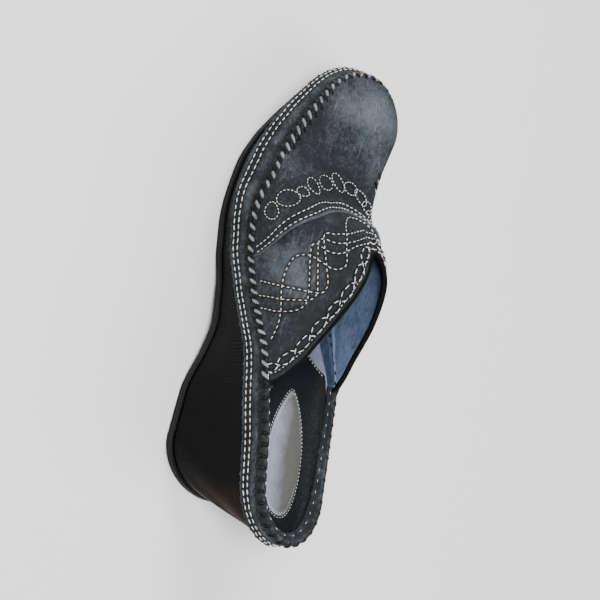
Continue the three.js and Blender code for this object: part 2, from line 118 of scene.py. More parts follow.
BAND = table(
    "along middle half height",
    (0.00, -0.032, 0.268, 1.00), (0.08, -0.032, 0.268, 0.87), (0.16, -0.027, 0.283, 0.74),
    (0.25, 0.000, 0.310, 0.63), (0.34, 0.017, 0.328, 0.48), (0.40, 0.030, 0.337, 0.25),
    (0.47, 0.054, 0.350, 0.00), (0.55, 0.084, 0.388, -0.13), (0.61, 0.088, 0.448, -0.09),
    (0.67, 0.071, 0.493, -0.02), (0.73, 0.048, 0.495, 0.03), (0.79, 0.018, 0.470, 0.04),
    (0.84, -0.023, 0.448, 0.05), (0.90, -0.080, 0.448, 0.06), (1.00, -0.127, 0.458, 0.07),
)
OUTSOLE = table(
    "along middle half lift spring",
    (0.00, 0.022, 0.410, 0.0, 0.00), (0.16, 0.030, 0.424, 0.0, 0.00), (0.25, 0.030, 0.424, 0.0, 0.00),
    (0.34, 0.026, 0.388, 0.7, 0.00), (0.40, 0.038, 0.364, 1.0, 0.00), (0.47, 0.062, 0.366, 0.6, 0.00),
    (0.55, 0.080, 0.404, 0.0, 0.00), (0.61, 0.074, 0.452, 0.0, 0.00), (0.67, 0.052, 0.478, 0.0, 0.00),
    (0.73, 0.030, 0.484, 0.0, 0.05), (0.79, -0.004, 0.466, 0.0, 0.20), (0.84, -0.052, 0.460, 0.0, 0.38),
    (0.90, -0.104, 0.464, 0.0, 0.62), (1.00, -0.132, 0.470, 0.0, 1.00),
)
SEAM = table(
    "along inset rise",
    (0.00, 0.25, 0.90), (0.22, 0.60, 1.02), (0.42, 0.45, 1.02), (0.57, 0.90, 0.90),
    (0.71, 1.85, 1.00), (0.84, 1.60, 0.96), (1.00, 0.95, 0.76),
)
RIDGE = table(
    "along height shift fullness",
    (0.27, 0.55, 1.00, 0.73), (0.36, 0.66, 1.00, 0.73), (0.46, 0.92, 1.00, 0.68),
    (0.52, 0.97, 1.00, 0.64), (0.58, 0.85, 0.92, 0.61), (0.64, 0.53, 0.62, 0.58),
    (0.70, 0.16, 0.45, 0.55), (0.78, -0.02, 0.42, 0.53), (0.90, 0.01, 0.45, 0.50),
    (0.96, 0.02, 0.45, 0.49), (1.00, 0.00, 0.45, 0.49),
)
COLLAR = table(
    "turn collar vamp",
    (0.000, 0.278, 0.520), (0.125, 0.294, 0.573), (0.250, 0.345, 0.611), (0.375, 0.475, 0.6435),
    (0.500, 0.582, 0.662), (0.625, 0.545, 0.652), (0.750, 0.450, 0.623), (0.875, 0.364, 0.573),
    (1.000, 0.324, 0.506),
)
FOOTBED = table(
    "along heel forefoot",
    (0.00, 1.00, 0.00), (0.26, 1.00, 0.00), (0.38, 0.38, 0.20), (0.48, 0.00, 0.80),
    (0.58, 0.00, 1.00), (0.88, 0.00, 1.00), (1.00, 0.00, 0.40),
)
print("rows of sections", sum(len(rows) for rows in (BAND, OUTSOLE, SEAM, RIDGE, COLLAR, FOOTBED)))


# %% Smooth columns
def column(rows, key, place="along"):
    """One column of a table as a smooth curve that never overshoots its rows."""
    x = np.array([row[place] for row in rows])
    y = np.array([row[key] for row in rows])
    slope = np.diff(y) / np.diff(x)
    before, after = slope[:-1], slope[1:]
    total = np.where(before + after == 0, 1, before + after)
    inner = np.where(before * after <= 0, 0, 2 * before * after / total)
    tangent = np.concatenate([slope[:1], inner, slope[-1:]])

    def at(value):
        value = np.asarray(value, float)
        i = np.clip(np.searchsorted(x, value, side="right") - 1, 0, len(x) - 2)
        width = x[i + 1] - x[i]
        s = np.clip((value - x[i]) / width, 0, 1)
        rise = y[i + 1] - y[i]
        bend = (tangent[i] * width - rise) * (1 - s) + (rise - tangent[i + 1] * width) * s
        return y[i] + rise * s + s * (1 - s) * bend

    return at


def round_end(distance, reach):
    """Elliptical ending of an outline, at a distance from its end."""
    s = np.clip(distance / reach, 0, 1)
    return np.sqrt(1 - (1 - s) ** 2)


band_middle, band_half, band_height = (column(BAND, key) for key in ("middle", "half", "height"))
sole_middle, sole_half, sole_lift, sole_spring = (
    column(OUTSOLE, key) for key in ("middle", "half", "lift", "spring"))
seam_inset, seam_rise = column(SEAM, "inset"), column(SEAM, "rise")
ridge_share, ridge_shift, ridge_fullness = (
    column(RIDGE, key) for key in ("height", "shift", "fullness"))
collar_station, vamp_station = column(COLLAR, "collar", "turn"), column(COLLAR, "vamp", "turn")
heel_form, forefoot_form = column(FOOTBED, "heel"), column(FOOTBED, "forefoot")


def ledge(x):
    return PLATFORM + (HEEL_HEIGHT - PLATFORM) * band_height(x / LENGTH)


def underside(x):
    return ARCH_LIFT * sole_lift(x / LENGTH) + TOE_SPRING * sole_spring(x / LENGTH)


print("band's lower edge at heel, arch and toe", [round(float(ledge(x)), 1) for x in (0, 110, LENGTH)])

# %% [markdown]
# ## Outlines as closed loops
# Band, wedge and outsole all run once round the foot. Two sides could be drawn and joined, but the
# joints would show at heel and toe. So each outline is one closed loop from the back of the heel
# along the lateral side to the toe and back along the medial side. A place on it is a share of its
# length, so that points lie evenly round the ends.

# %% Loops
class Loop:
    """A closed outline with its inward direction, by the share of the way round."""

    SAMPLES = 3000

    def __init__(self, point):
        share = 0.5 * (1 - np.cos(np.linspace(0, math.pi, self.SAMPLES)))
        station = np.concatenate([share, share[::-1][1:]])
        side = np.concatenate([np.ones(self.SAMPLES), -np.ones(self.SAMPLES - 1)])
        plan = point(station, side)
        steps = np.linalg.norm(np.diff(plan, axis=0), axis=1)
        self.length = steps.sum()
        self.share = np.concatenate([[0], np.cumsum(steps)]) / self.length
        along = np.gradient(plan, self.share, axis=0)
        along[0] = along[-1] = (0, 1)
        along /= np.linalg.norm(along, axis=1)[:, None]
        self.plan, self.station = plan, station
        self.inward = np.column_stack([along[:, 1], -along[:, 0]])

    def read(self, values, share):
        share = np.mod(share, 1)
        if values.ndim == 1:
            return np.interp(share, self.share, values)
        columns = [np.interp(share, self.share, values[:, k]) for k in range(values.shape[1])]
        return np.stack(columns, -1)

    def at(self, share, inset=0):
        """Plan point and station at a share of the way round, moved inwards."""
        inset = np.broadcast_to(np.asarray(inset, float), np.shape(share))
        plan = self.read(self.plan, share) + self.read(self.inward, share) * inset[..., None]
        return plan, self.read(self.station, share)

    def share_at(self, station, side):
        """Share of the way round at a station of one side."""
        half = self.SAMPLES
        if side > 0:
            return np.interp(station, self.station[:half], self.share[:half])
        return np.interp(station, self.station[half - 1:][::-1], self.share[half - 1:][::-1])


def band_plan(station, side):
    x = station * LENGTH
    half = BALL_WIDTH * band_half(station) * round_end(x, HEEL_ROUND)
    half = half * round_end(LENGTH - x, TOE_ROUND)
    return np.column_stack([x, BALL_WIDTH * band_middle(station) + side * half])


def sole_plan(station, side):
    back = np.maximum(0, 1 - station * LENGTH / RAKE_REACH) ** 2
    front = np.maximum(0, 1 - (1 - station) * LENGTH / TOE_REACH) ** 2
    x = station * LENGTH + HEEL_RAKE * back - TOE_SETBACK * front
    half = SOLE_WIDTH * sole_half(x / LENGTH) * round_end(x - HEEL_RAKE, SOLE_HEEL_ROUND)
    half = half * round_end(LENGTH - TOE_SETBACK - x, SOLE_TOE_ROUND)
    return np.column_stack([x, SOLE_WIDTH * sole_middle(x / LENGTH) + side * half])


band_loop = Loop(band_plan)
sole_loop = Loop(sole_plan)
_, upper_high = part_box("upper")
MIDDLE = np.array([
    LENGTH + RAW_EDGE_FLARE - upper_high.x / MM,
    band_loop.plan[:, 1].max() + RAW_EDGE_FLARE - upper_high.y / MM,
    0.0,
])
print("way round the band", round(band_loop.length), "mm; middle of the shoe", MIDDLE.round(2))


# %% Surfaces of the upper
def band_point(share, up, depth=0.0):
    """A point of the band: up is 0 at its raw edge and 1 at the laced seam."""
    station = band_loop.read(band_loop.station, share)
    lean = BAND_INSET * seam_inset(station) * np.maximum(up, 0) ** BAND_CURVE
    plan, station = band_loop.at(share, lean + depth)
    height = ledge(station * LENGTH) + BAND_RISE * seam_rise(station) * up
    return np.concatenate([plan, height[..., None]], -1)


def seam_point(station, side):
    return band_point(band_loop.share_at(station, side), np.ones(np.shape(station)))


def vamp_point(station, turn, lift=0.0):
    """A point above the seam: turn is 0 at the lateral seam and 1 at the medial one."""
    station, turn = np.broadcast_arrays(np.asarray(station, float), np.asarray(turn, float))
    lateral, medial = seam_point(station, 1), seam_point(station, -1)
    angle = math.pi * turn
    point = lateral + (medial - lateral) * (0.5 * (1 - np.cos(angle)))[..., None]
    over = np.maximum(0, np.sin(angle))
    ridge = TOE_HEIGHT + (COLLAR_HEIGHT - TOE_HEIGHT) * ridge_share(station)
    crown = np.maximum(0, ridge - 0.5 * (lateral[..., 2] + medial[..., 2]))
    taper = round_end((1 - station) * LENGTH, TOE_ROUND)
    point[..., 1] -= RIDGE_SHIFT * ridge_shift(station) * over ** 2 * taper
    point[..., 2] += crown * over ** ridge_fullness(station) * taper
    out = lift * np.minimum(1, LIFT_GROWTH * over)
    point[..., 1] += out * np.cos(angle)
    point[..., 2] += out * over
    return point


def vamp_normal(station, turn):
    reach = 0.002
    ahead = vamp_point(np.minimum(station + reach, 0.999), turn) - vamp_point(station - reach, turn)
    over = vamp_point(station, np.minimum(turn + reach, 1))
    over = over - vamp_point(station, np.maximum(turn - reach, 0))
    normal = np.cross(over, ahead)
    return normal / (np.linalg.norm(normal, axis=-1, keepdims=True) + 1e-12)


def beside(turn, station, distance):
    """The places at a distance from a line on the upper, towards the toe where it is positive."""
    steps = 6
    turn, station = np.array(turn, float), np.array(station, float)
    for _ in range(steps):
        point = vamp_point(station, turn)
        line = np.gradient(point, axis=0)
        line /= np.linalg.norm(line, axis=1)[:, None] + 1e-12
        normal = vamp_normal(station, turn)
        wanted = np.cross(line, normal)
        by_station = (vamp_point(station + 0.001, turn) - point) / 0.001
        by_turn = (vamp_point(station, turn + 0.001) - point) / 0.001
        wanted *= np.sign((wanted * by_station).sum(-1, keepdims=True))
        a = (by_station ** 2).sum(-1)
        b = (by_station * by_turn).sum(-1)
        c = (by_turn ** 2).sum(-1)
        p = (by_station * wanted).sum(-1)
        q = (by_turn * wanted).sum(-1)
        det = a * c - b * b
        move = np.asarray(distance) / steps
        station = station + move * (c * p - b * q) / det
        turn = np.clip(turn + move * (a * q - b * p) / det, 0.0005, 0.9985)
    return turn, station


print("ridge over the ball", vamp_point(0.6, 0.5).round(1))

# %% [markdown]
# ## Closed bodies from grids
# Leather has a thickness. A Solidify modifier could give it, but these panels need an inside of
# their own, so every panel is a closed shell: an outer grid of points, an inner one behind it, and
# rims that join their edges. Values such as wear, which also carries painted highlight, or the
# painted shade along a sewn line ride on the points as attributes, where the finishes read them.

# %% Grids
def unit(vectors):
    return vectors / (np.linalg.norm(vectors, axis=-1, keepdims=True) + 1e-12)


def grid_normals(points, closed=False):
    if closed:
        wrapped = np.concatenate([points[-1:], points, points[:1]])
        down = np.gradient(wrapped, axis=0)[1:-1]
    else:
        down = np.gradient(points, axis=0)
    return unit(np.cross(down, np.gradient(points, axis=1)))


def grid_faces(rows, columns, closed, start=0):
    i = np.arange(rows if closed else rows - 1)
    j = np.arange(columns - 1)
    a = (i[:, None] * columns + j[None, :]).ravel()
    b = (((i + 1) % rows)[:, None] * columns + j[None, :]).ravel()
    return np.stack([a, b, b + 1, a + 1], 1) + start


print("faces of a grid of 3 by 4 points", len(grid_faces(3, 4, False)))


# %% Meshes
def make_mesh(name, points, faces, material, values=None):
    """A smooth mesh in metres in the frame, with its doubles merged and its faces outwards."""
    points = (points - MIDDLE) * MM
    triangles = np.concatenate([faces[:, [0, 1, 2]], faces[:, [0, 2, 3]]])
    p, q, r = (points[triangles[:, k]] for k in range(3))
    if (p * np.cross(q, r)).sum() < 0:
        faces = faces[:, ::-1]
    mesh = bpy.data.meshes.new(name)
    mesh.from_pydata(points.tolist(), [], faces.tolist())
    for key, value in (values or {}).items():
        layer = mesh.attributes.new(key, "FLOAT", "POINT")
        layer.data.foreach_set("value", np.asarray(value, np.float32).ravel())
    mesh.validate()
    body = bmesh.new()
    body.from_mesh(mesh)
    bmesh.ops.remove_doubles(body, verts=body.verts, dist=1e-7)
    bmesh.ops.dissolve_degenerate(body, edges=body.edges, dist=1e-8)
    body.to_mesh(mesh)
    body.free()
    mesh.materials.append(material)
    mesh.shade_smooth()
    thing = bpy.data.objects.new(name, mesh)
    bpy.context.scene.collection.objects.link(thing)
    print(name, len(mesh.polygons), "faces")
    return thing


# %% Shells and tubes
def shell(name, outer, inner, material, closed=False, values=None):
    """A closed body between two grids of the same size."""
    rows, columns = outer.shape[:2]
    count = rows * columns
    faces = [grid_faces(rows, columns, closed), grid_faces(rows, columns, closed, count)[:, ::-1]]
    turns = np.arange(rows if closed else rows - 1)
    after = (turns + 1) % rows
    for column_at, flip in ((0, False), (columns - 1, True)):
        a, b = turns * columns + column_at, after * columns + column_at
        rim = np.stack([a, a + count, b + count, b], 1)
        faces.append(rim[:, ::-1] if flip else rim)
    if not closed:
        j = np.arange(columns - 1)
        for row, flip in ((0, True), (rows - 1, False)):
            a, b = row * columns + j, row * columns + j + 1
            rim = np.stack([a, a + count, b + count, b], 1)
            faces.append(rim[:, ::-1] if flip else rim)
    points = np.concatenate([outer.reshape(-1, 3), inner.reshape(-1, 3)])
    both = {key: np.concatenate([np.ravel(value)] * 2) for key, value in (values or {}).items()}
    return make_mesh(name, points, np.concatenate(faces), material, both)


def tube(name, path, side, upright, section, material):
    """A body of one section along a path: section rows are steps along side and upright."""
    ring = path[:, None] + side[:, None] * section[None, :, :1]
    ring = ring + upright[:, None] * section[None, :, 1:]
    rows, columns = ring.shape[:2]
    wrapped = np.concatenate([ring, ring[:, :1]], 1)
    first = wrapped[..., 0].size
    points = np.concatenate([wrapped.reshape(-1, 3), [ring[0].mean(0), ring[-1].mean(0)]])
    j = np.arange(columns)
    end = (rows - 1) * (columns + 1) + j
    faces = np.concatenate([
        grid_faces(rows, columns + 1, False),
        np.stack([j, j + 1, np.full(columns, first), np.full(columns, first)], 1),
        np.stack([end + 1, end, np.full(columns, first + 1), np.full(columns, first + 1)], 1),
    ])
    return make_mesh(name, points, faces, material)


# %% [markdown]
# ## Finishes
# A finish is a small network of nodes. It could be drawn in the shader editor, or written as one
# call for each node and link. Here a class wraps one output and lets Python's signs add the Math
# nodes, so a line of the finish reads like the recipe that it is.

# %% A socket that can be reckoned with
class Signal:
    def __init__(self, finish, socket):
        self.finish, self.socket = finish, socket

    def reckon(self, operation, first, second, clamp=False):
        node = self.finish.tree.nodes.new("ShaderNodeMath")
        node.operation = operation
        node.use_clamp = clamp
        self.finish.join(first, node.inputs[0])
        self.finish.join(second, node.inputs[1])
        return Signal(self.finish, node.outputs[0])

    def __add__(self, other):
        return self.reckon("ADD", self, other)

    def __sub__(self, other):
        return self.reckon("SUBTRACT", self, other)

    def __rsub__(self, other):
        return self.reckon("SUBTRACT", other, self)

    def __mul__(self, other):
        return self.reckon("MULTIPLY", self, other)

    __radd__ = __add__
    __rmul__ = __mul__

    def held(self):
        """The same signal between 0 and 1."""
        return self.reckon("ADD", self, 0.0, clamp=True)


# %% A finish round one shader
class Finish:
    """A material built node by node around one Principled shader."""

    def __init__(self, name, **plain):
        self.material = bpy.data.materials.new(name)
        self.material.use_nodes = True
        self.tree = self.material.node_tree
        self.shader = self.tree.nodes["Principled BSDF"]
        self.place = self.node("TexCoord", "Object")
        for socket, value in plain.items():
            self.shader.inputs[socket.replace("_", " ")].default_value = value

    def join(self, value, socket):
        if isinstance(value, Signal):
            self.tree.links.new(value.socket, socket)
        else:
            socket.default_value = value

    def node(self, kind, output, settings=None, **inputs):
        """Any node: its settings first, then the values or links of its sockets."""
        node = self.tree.nodes.new("ShaderNode" + kind)
        for key, value in (settings or {}).items():
            setattr(node, key, value)
        for key, value in inputs.items():
            self.join(value, node.inputs[key.replace("_", " ")])
        return Signal(self, node.outputs[output])

    def noise(self, size, detail=4.0, roughness=0.6, stretch=None, distortion=0.0):
        """Noise whose blots are about size millimetres."""
        place = self.place
        if stretch:
            place = self.node("Mapping", "Vector", Vector=place, Scale=stretch)
        return self.node("TexNoise", "Fac", Vector=place, Scale=1 / (size * MM), Detail=detail,
                         Roughness=roughness, Distortion=distortion)

    def ramp(self, signal, *stops):
        """A colour ramp; its stops are a place with a grey or a colour."""
        node = self.tree.nodes.new("ShaderNodeValToRGB")
        elements = node.color_ramp.elements
        while len(elements) < len(stops):
            elements.new(0.5)
        for element, (place, colour) in zip(elements, stops):
            element.position = place
            element.color = (*(colour if isinstance(colour, tuple) else (colour,) * 3), 1)
        self.join(signal, node.inputs[0])
        return Signal(self, node.outputs[0])

    def mix(self, factor, first, second):
        """One colour over another."""
        node = self.tree.nodes.new("ShaderNodeMix")
        node.data_type = "RGBA"
        self.join(factor, node.inputs[0])
        for value, socket in ((first, node.inputs[6]), (second, node.inputs[7])):
            self.join((*value, 1) if isinstance(value, tuple) else value, socket)
        return Signal(self, node.outputs[2])

    def value(self, name):
        return self.node("Attribute", "Fac", {"attribute_name": name})

    def colour(self, signal):
        self.join(signal, self.shader.inputs["Base Color"])

    def roughness(self, signal):
        self.join(signal, self.shader.inputs["Roughness"])

    def bump(self, *layers):
        """Layers of relief: each is a signal and its depth in millimetres."""
        before = None
        for signal, depth in layers:
            node = self.tree.nodes.new("ShaderNodeBump")
            node.inputs["Distance"].default_value = depth * MM
            self.join(signal, node.inputs["Height"])
            if before is not None:
                self.tree.links.new(before, node.inputs["Normal"])
            before = node.outputs[0]
        self.tree.links.new(before, self.shader.inputs["Normal"])


# %% [markdown]
# ## Greased nubuck
# The upper is charcoal nubuck, waxed and worn: soft blots of grey where the nap is rubbed up, paler
# along the raw edges, with a painted highlight over the toe and along the band's middle, and painted
# shade along each sewn line that pulls it in. A photograph of leather would bring its own light and
# its own seams. Blots of four sizes, from 17 mm down to the nap, mix the greys instead, and look the
# same from every side.

# %% Nubuck
def nubuck(name, dark, middle, light):
    leather = Finish(name, Specular_IOR_Level=0.22)
    blots = leather.noise(17, detail=6.0, roughness=0.62)
    rubs = leather.noise(5, detail=7.0, roughness=0.7, distortion=0.6)
    nap = leather.noise(0.5, detail=3.0, roughness=0.7)
    # Wear lightens the greys: rubbed places, and also painted highlight on the band's middle, over the
    # toe and on the seam's bead.
    wear = leather.value("wear")
    mottle = leather.noise(1.7, detail=5.0, roughness=0.75)
    tone = blots * 0.40 + rubs * 0.45 + mottle * 0.55 + nap * 0.30 + wear * 0.34 - 0.48
    colour = leather.ramp(tone, (0.12, dark), (0.42, middle), (0.85, light))
    # Painted shade: near black along the sewn lines, in the band's fold and between the swellings of
    # the seam's bead.
    sunk = leather.value("groove_shade")
    colour = leather.mix((sunk * 1.1).held(), colour, (0.0015, 0.0017, 0.0022))
    scratch = leather.noise(1.6, detail=2.0, roughness=0.5, stretch=(0.22, 1.0, 1.0))
    scratch = leather.ramp(scratch, (0.63, 0.0), (0.72, 1.0))
    colour = leather.mix(scratch * (wear * 0.5 + 0.08).held(), colour, (0.17, 0.19, 0.21))
    leather.colour(colour)
    leather.roughness((0.86 - rubs * 0.28 - wear * 0.06 + nap * 0.1).held())
    leather.bump((nap, 0.12), (mottle, 0.16), (rubs, 0.25), (blots, 0.4))
    return leather.material


upper_leather = nubuck(
    "charcoal_nubuck", (0.0025, 0.0030, 0.0038), (0.0095, 0.0118, 0.0148), (0.088, 0.106, 0.122))
# For the seam's bead: its palest grey is rubbed nubuck and painted highlight together.
rubbed_and_lit_bead_leather = nubuck(
    "rubbed_and_lit_bead_nubuck", (0.003, 0.003, 0.004), (0.02, 0.024, 0.028), (0.270, 0.297, 0.331))
print("nubuck", len(upper_leather.node_tree.nodes), "nodes")

# %% [markdown]
# ## The other finishes
# Sock, binding, lace and pad are smooth leathers: the same cells of grain, each with its own colour
# and gloss, so one recipe serves all four. The lining is a brushed blue with creases, the thread is
# matt and slightly furred, and the holes are near-black spots of painted shade. Rubber and covering
# are nearly black with a little dust and grain, and the covering has a painted brown reflection low
# at the back of the heel.

# %% Smooth leathers
def smooth_leather(name, base, light, grain=0.9, roughness=0.42, relief=0.12, gloss=0.3):
    leather = Finish(name, Specular_IOR_Level=gloss)
    cells = leather.node("TexVoronoi", "Distance", {"feature": "DISTANCE_TO_EDGE"},
                         Vector=leather.place, Scale=1 / (grain * MM))
    cells = leather.ramp(cells, (0.0, 0.0), (0.25, 1.0))
    blots = leather.noise(14, detail=6.0)
    rubs = leather.noise(3, detail=5.0)
    wear = leather.value("wear")
    leather.colour(leather.mix((blots * 0.6 + rubs * 0.5 - 0.42 + wear * 0.7).held(), base, light))
    leather.roughness((rubs * 0.3 + roughness - 0.12).held())
    leather.bump((cells, relief), (rubs, 0.15))
    return leather.material


black_leather = smooth_leather("black_leather", (0.003, 0.0036, 0.005), (0.012, 0.015, 0.021),
                               gloss=0.14)
binding_leather = smooth_leather("binding_leather", (0.0015, 0.0015, 0.0015), (0.006, 0.006, 0.0065),
                                 roughness=0.5, gloss=0.06)
lace_leather = smooth_leather("lace_leather", (0.002, 0.002, 0.0025), (0.007, 0.0075, 0.009),
                              grain=0.6, roughness=0.3, relief=0.05, gloss=0.13)
pad_leather = smooth_leather("pad_leather", (0.075, 0.075, 0.070), (0.27, 0.27, 0.35),
                             grain=0.7, roughness=0.5, gloss=0.2)
print("smooth leathers", len([black_leather, binding_leather, lace_leather, pad_leather]))


# %% Lining
def blue_lining(name, base, light):
    lining = Finish(name, Specular_IOR_Level=0.25)
    blots = lining.noise(9, detail=6.0, roughness=0.7)
    nap = lining.noise(0.8, detail=3.0)
    wear = lining.value("wear")
    creases = lining.noise(3.0, detail=5.0, roughness=0.7, stretch=(0.5, 1.0, 1.0), distortion=0.8)
    tone = (blots * 0.8 + creases * 0.9 + nap * 0.35 - 0.62 + wear * 0.5).held()
    colour = lining.mix(tone, base, light)
    # Painted shade: darker along sewn lines, where a mesh gives that value.
    lining.colour(lining.mix((lining.value("groove_shade") * 0.8).held(), colour, (0.01, 0.012, 0.02)))
    lining.roughness((0.7 - blots * 0.2).held())
    lining.bump((nap, 0.15), (creases, 0.25), (blots, 0.3))
    return lining.material


lining_leather = blue_lining("blue_lining", (0.010, 0.020, 0.045), (0.21, 0.30, 0.47))
sock_leather = blue_lining("blue_grey_sock", (0.09, 0.10, 0.16), (0.27, 0.30, 0.42))
print("linings", lining_leather.name, sock_leather.name)


# %% Thread
def thread(name, base, light):
    strand = Finish(name, Specular_IOR_Level=0.3, Sheen_Weight=0.1)
    twist = strand.noise(0.45, detail=2.0)
    strand.colour(strand.mix(twist, base, light))
    strand.roughness((0.75 - twist * 0.15).held())
    strand.bump((twist, 0.12))
    return strand.material


white_thread = thread("white_thread", (0.42, 0.43, 0.42), (0.85, 0.86, 0.84))
grey_thread = thread("grey_thread", (0.25, 0.26, 0.26), (0.62, 0.63, 0.62))
# Near-black spots for needle and lace holes: painted shade where thread or lace goes in.
painted_hole_shade = thread("painted_hole_shade", (0.002, 0.002, 0.002), (0.008, 0.008, 0.009))
print("threads", white_thread.name, grey_thread.name, painted_hole_shade.name)

# %% Rubber and the wedge's covering
rubber = Finish("black_rubber", Specular_IOR_Level=0.12)
rubber_grit = rubber.noise(0.7, detail=3.0)
rubber_dust = rubber.noise(11, detail=5.0)
rubber_tone = (rubber_dust * 0.8 - 0.25 + rubber_grit * 0.2).held()
rubber.colour(rubber.mix(rubber_tone, (0.003, 0.003, 0.0035), (0.016, 0.016, 0.018)))
rubber.roughness((rubber_dust * 0.25 + 0.36).held())
rubber.bump((rubber_grit, 0.08))

covering = Finish("wedge_covering", Specular_IOR_Level=0.05)
fine_grain = covering.noise(1.1, detail=5.0, roughness=0.7, stretch=(1.0, 1.0, 0.12), distortion=0.5)
covering_blots = covering.noise(20, detail=4.0)
covering_tone = (fine_grain * 0.6).held()
covering_base = covering.mix(covering_tone, (0.0015, 0.0016, 0.0018), (0.007, 0.0075, 0.008))
# Painted reflection: a warm brown tint low at the back of the heel.
burnish = (covering.value("burnish") * (covering_blots * 0.7 + 0.55)).held()
covering.colour(covering.mix(burnish, covering_base, (0.042, 0.015, 0.004)))
covering.roughness((0.22 + covering_blots * 0.2 + fine_grain * 0.12).held())
covering.bump((fine_grain, 0.18))
print("finishes", len(bpy.data.materials))


# %% [markdown]
# ## Sewn lines on the upper
# The lines come before the leather, because each one pulls the leather in along its way. They could
# be painted as bump, but a stitch has a body and lies sunk in a channel that the finish darkens with
# painted shade, so both need the same line. A line is a row of places on the upper (turn, station).
# Rows beside an edge keep their distance from it. The chain along the collar is two waves that cross.
# The loops on the vamp are closed rings, set one by one. Each line of the knotwork is a few measured
# places, rounded off, and mirrored over the ridge.

# %% Measures of the sewn lines
BAND_ROWS = (0.13, 0.345)            # share of the band's height
EDGE_ROWS = ((1.8, 1.5), (4.8, 3.2)) # ahead of the vamp's raw edge at the seam, and more at the ridge
LINK_BESIDE = (7.0, -3.0)            # ahead of the collar, likewise
LINK_HALF = 2.05                     # half the chain's width
LINKS = 16
COLLAR_ROW = (4.0, -1.4)             # the row nearest to the collar, likewise
MEDIAL_CLEAR = 0.17                  # share of the saddle that the medial knotwork leaves to the chain
LOOPS = table(                       # middle, half sizes across and along in millimetres, and lean
    "turn  station across along lean",
    (0.048, 0.606, 4.6, 4.4, 0.3), (0.130, 0.638, 5.6, 5.0, 0.0), (0.224, 0.667, 3.7, 4.0, -0.3),
    (0.301, 0.696, 3.6, 5.0, 0.2), (0.378, 0.717, 4.3, 4.9, -0.2), (0.456, 0.733, 4.1, 4.6, 0.3),
    (0.546, 0.733, 4.5, 3.9, -0.3), (0.636, 0.722, 4.3, 4.6, 0.2), (0.722, 0.706, 4.0, 4.2, -0.2),
    (0.800, 0.685, 4.2, 4.6, 0.2), (0.873, 0.658, 4.8, 4.5, 0.0), (0.945, 0.620, 4.4, 4.5, 0.3),
)

WAVE = (
    (0.060, 0.370), (0.090, 0.391), (0.100, 0.420), (0.094, 0.462), (0.103, 0.495), (0.134, 0.525),
    (0.187, 0.534), (0.235, 0.527), (0.283, 0.521), (0.328, 0.536), (0.338, 0.569), (0.368, 0.607),
    (0.430, 0.640), (0.500, 0.650),
)
CORDS = (
    ((0.010, 0.477), (0.070, 0.471), (0.142, 0.469), (0.243, 0.472), (0.265, 0.490), (0.254, 0.518),
     (0.247, 0.550), (0.253, 0.580), (0.299, 0.587), (0.369, 0.599), (0.428, 0.612), (0.500, 0.625)),
    ((0.010, 0.449), (0.093, 0.445), (0.165, 0.449), (0.215, 0.456), (0.232, 0.472), (0.223, 0.505),
     (0.220, 0.545), (0.235, 0.569), (0.302, 0.571), (0.363, 0.582), (0.430, 0.598), (0.500, 0.614)),
    ((0.010, 0.425), (0.077, 0.421), (0.150, 0.427), (0.192, 0.440), (0.202, 0.458), (0.197, 0.485),
     (0.191, 0.530), (0.207, 0.558), (0.266, 0.551), (0.320, 0.557), (0.393, 0.580), (0.500, 0.603)),
)
print(len(LOOPS), "loops,", LINKS, "links,", 1 + len(CORDS), "lines of knotwork")


# %% Knotwork over both sides
def spline(points, steps=14):
    """A smooth line through a few places."""
    points = np.array(points, float)
    ends = np.concatenate([[2 * points[0] - points[1]], points, [2 * points[-1] - points[-2]]])
    t = np.linspace(0, 1, steps, endpoint=False)[:, None]
    line = []
    for a, b, c, d in zip(ends, ends[1:], ends[2:], ends[3:]):
        line.append(0.5 * (2 * b + (c - a) * t + (2 * a - 5 * b + 4 * c - d) * t ** 2
                           + (3 * b - a - 3 * c + d) * t ** 3))
    return np.concatenate(line + [points[-1:]])


def saddle_share_of(turn, station):
    """How far a place lies from the collar to the vamp's edge."""
    return (station - collar_station(turn)) / (vamp_station(turn) - collar_station(turn))


def both_sides(places):
    """A line from the lateral seam to the ridge, and on over it as its mirror between the edges."""
    line = spline(places)
    turn, station = line[::-1][1:].T
    share = saddle_share_of(turn, station)
    clear = MEDIAL_CLEAR * np.clip((0.5 - turn) / 0.2, 0, 1)
    share = clear + (1 - clear) * share
    station = collar_station(1 - turn) + share * (vamp_station(1 - turn) - collar_station(1 - turn))
    return np.concatenate([line, np.column_stack([1 - turn, station])])


knotwork = [both_sides(places) for places in (WAVE, *CORDS)]
print("knotwork", [len(line) for line in knotwork], "places")


# %% Places on the leather
def on_saddle(places, lift=0.0):
    turn, station = places[:, 0], places[:, 1]
    normal = vamp_normal(station, turn)
    return vamp_point(station, turn) + normal * lift, normal


def on_vamp(places, lift=0.0):
    turn, station = places[:, 0], places[:, 1]
    normal = vamp_normal(station, turn)
    return vamp_point(station, turn, VAMP_STEP) + normal * lift, normal


print("the knotwork's first place", on_saddle(knotwork[0])[0][0].round(1))

# %% Rows beside an edge
turns = np.linspace(0.012, 0.988, 240)


def row_beside(stations, sizes):
    """A row ahead of an edge: its distance at the seam, and how much more it is at the ridge."""
    distance = sizes[0] + sizes[1] * np.sin(math.pi * turns) ** 2
    return np.column_stack(beside(turns, stations(turns), distance))


edge_rows = [row_beside(vamp_station, sizes) for sizes in EDGE_ROWS]
collar_row = row_beside(collar_station, COLLAR_ROW)[5:-5]
print("rows beside an edge", len(edge_rows) + 1)


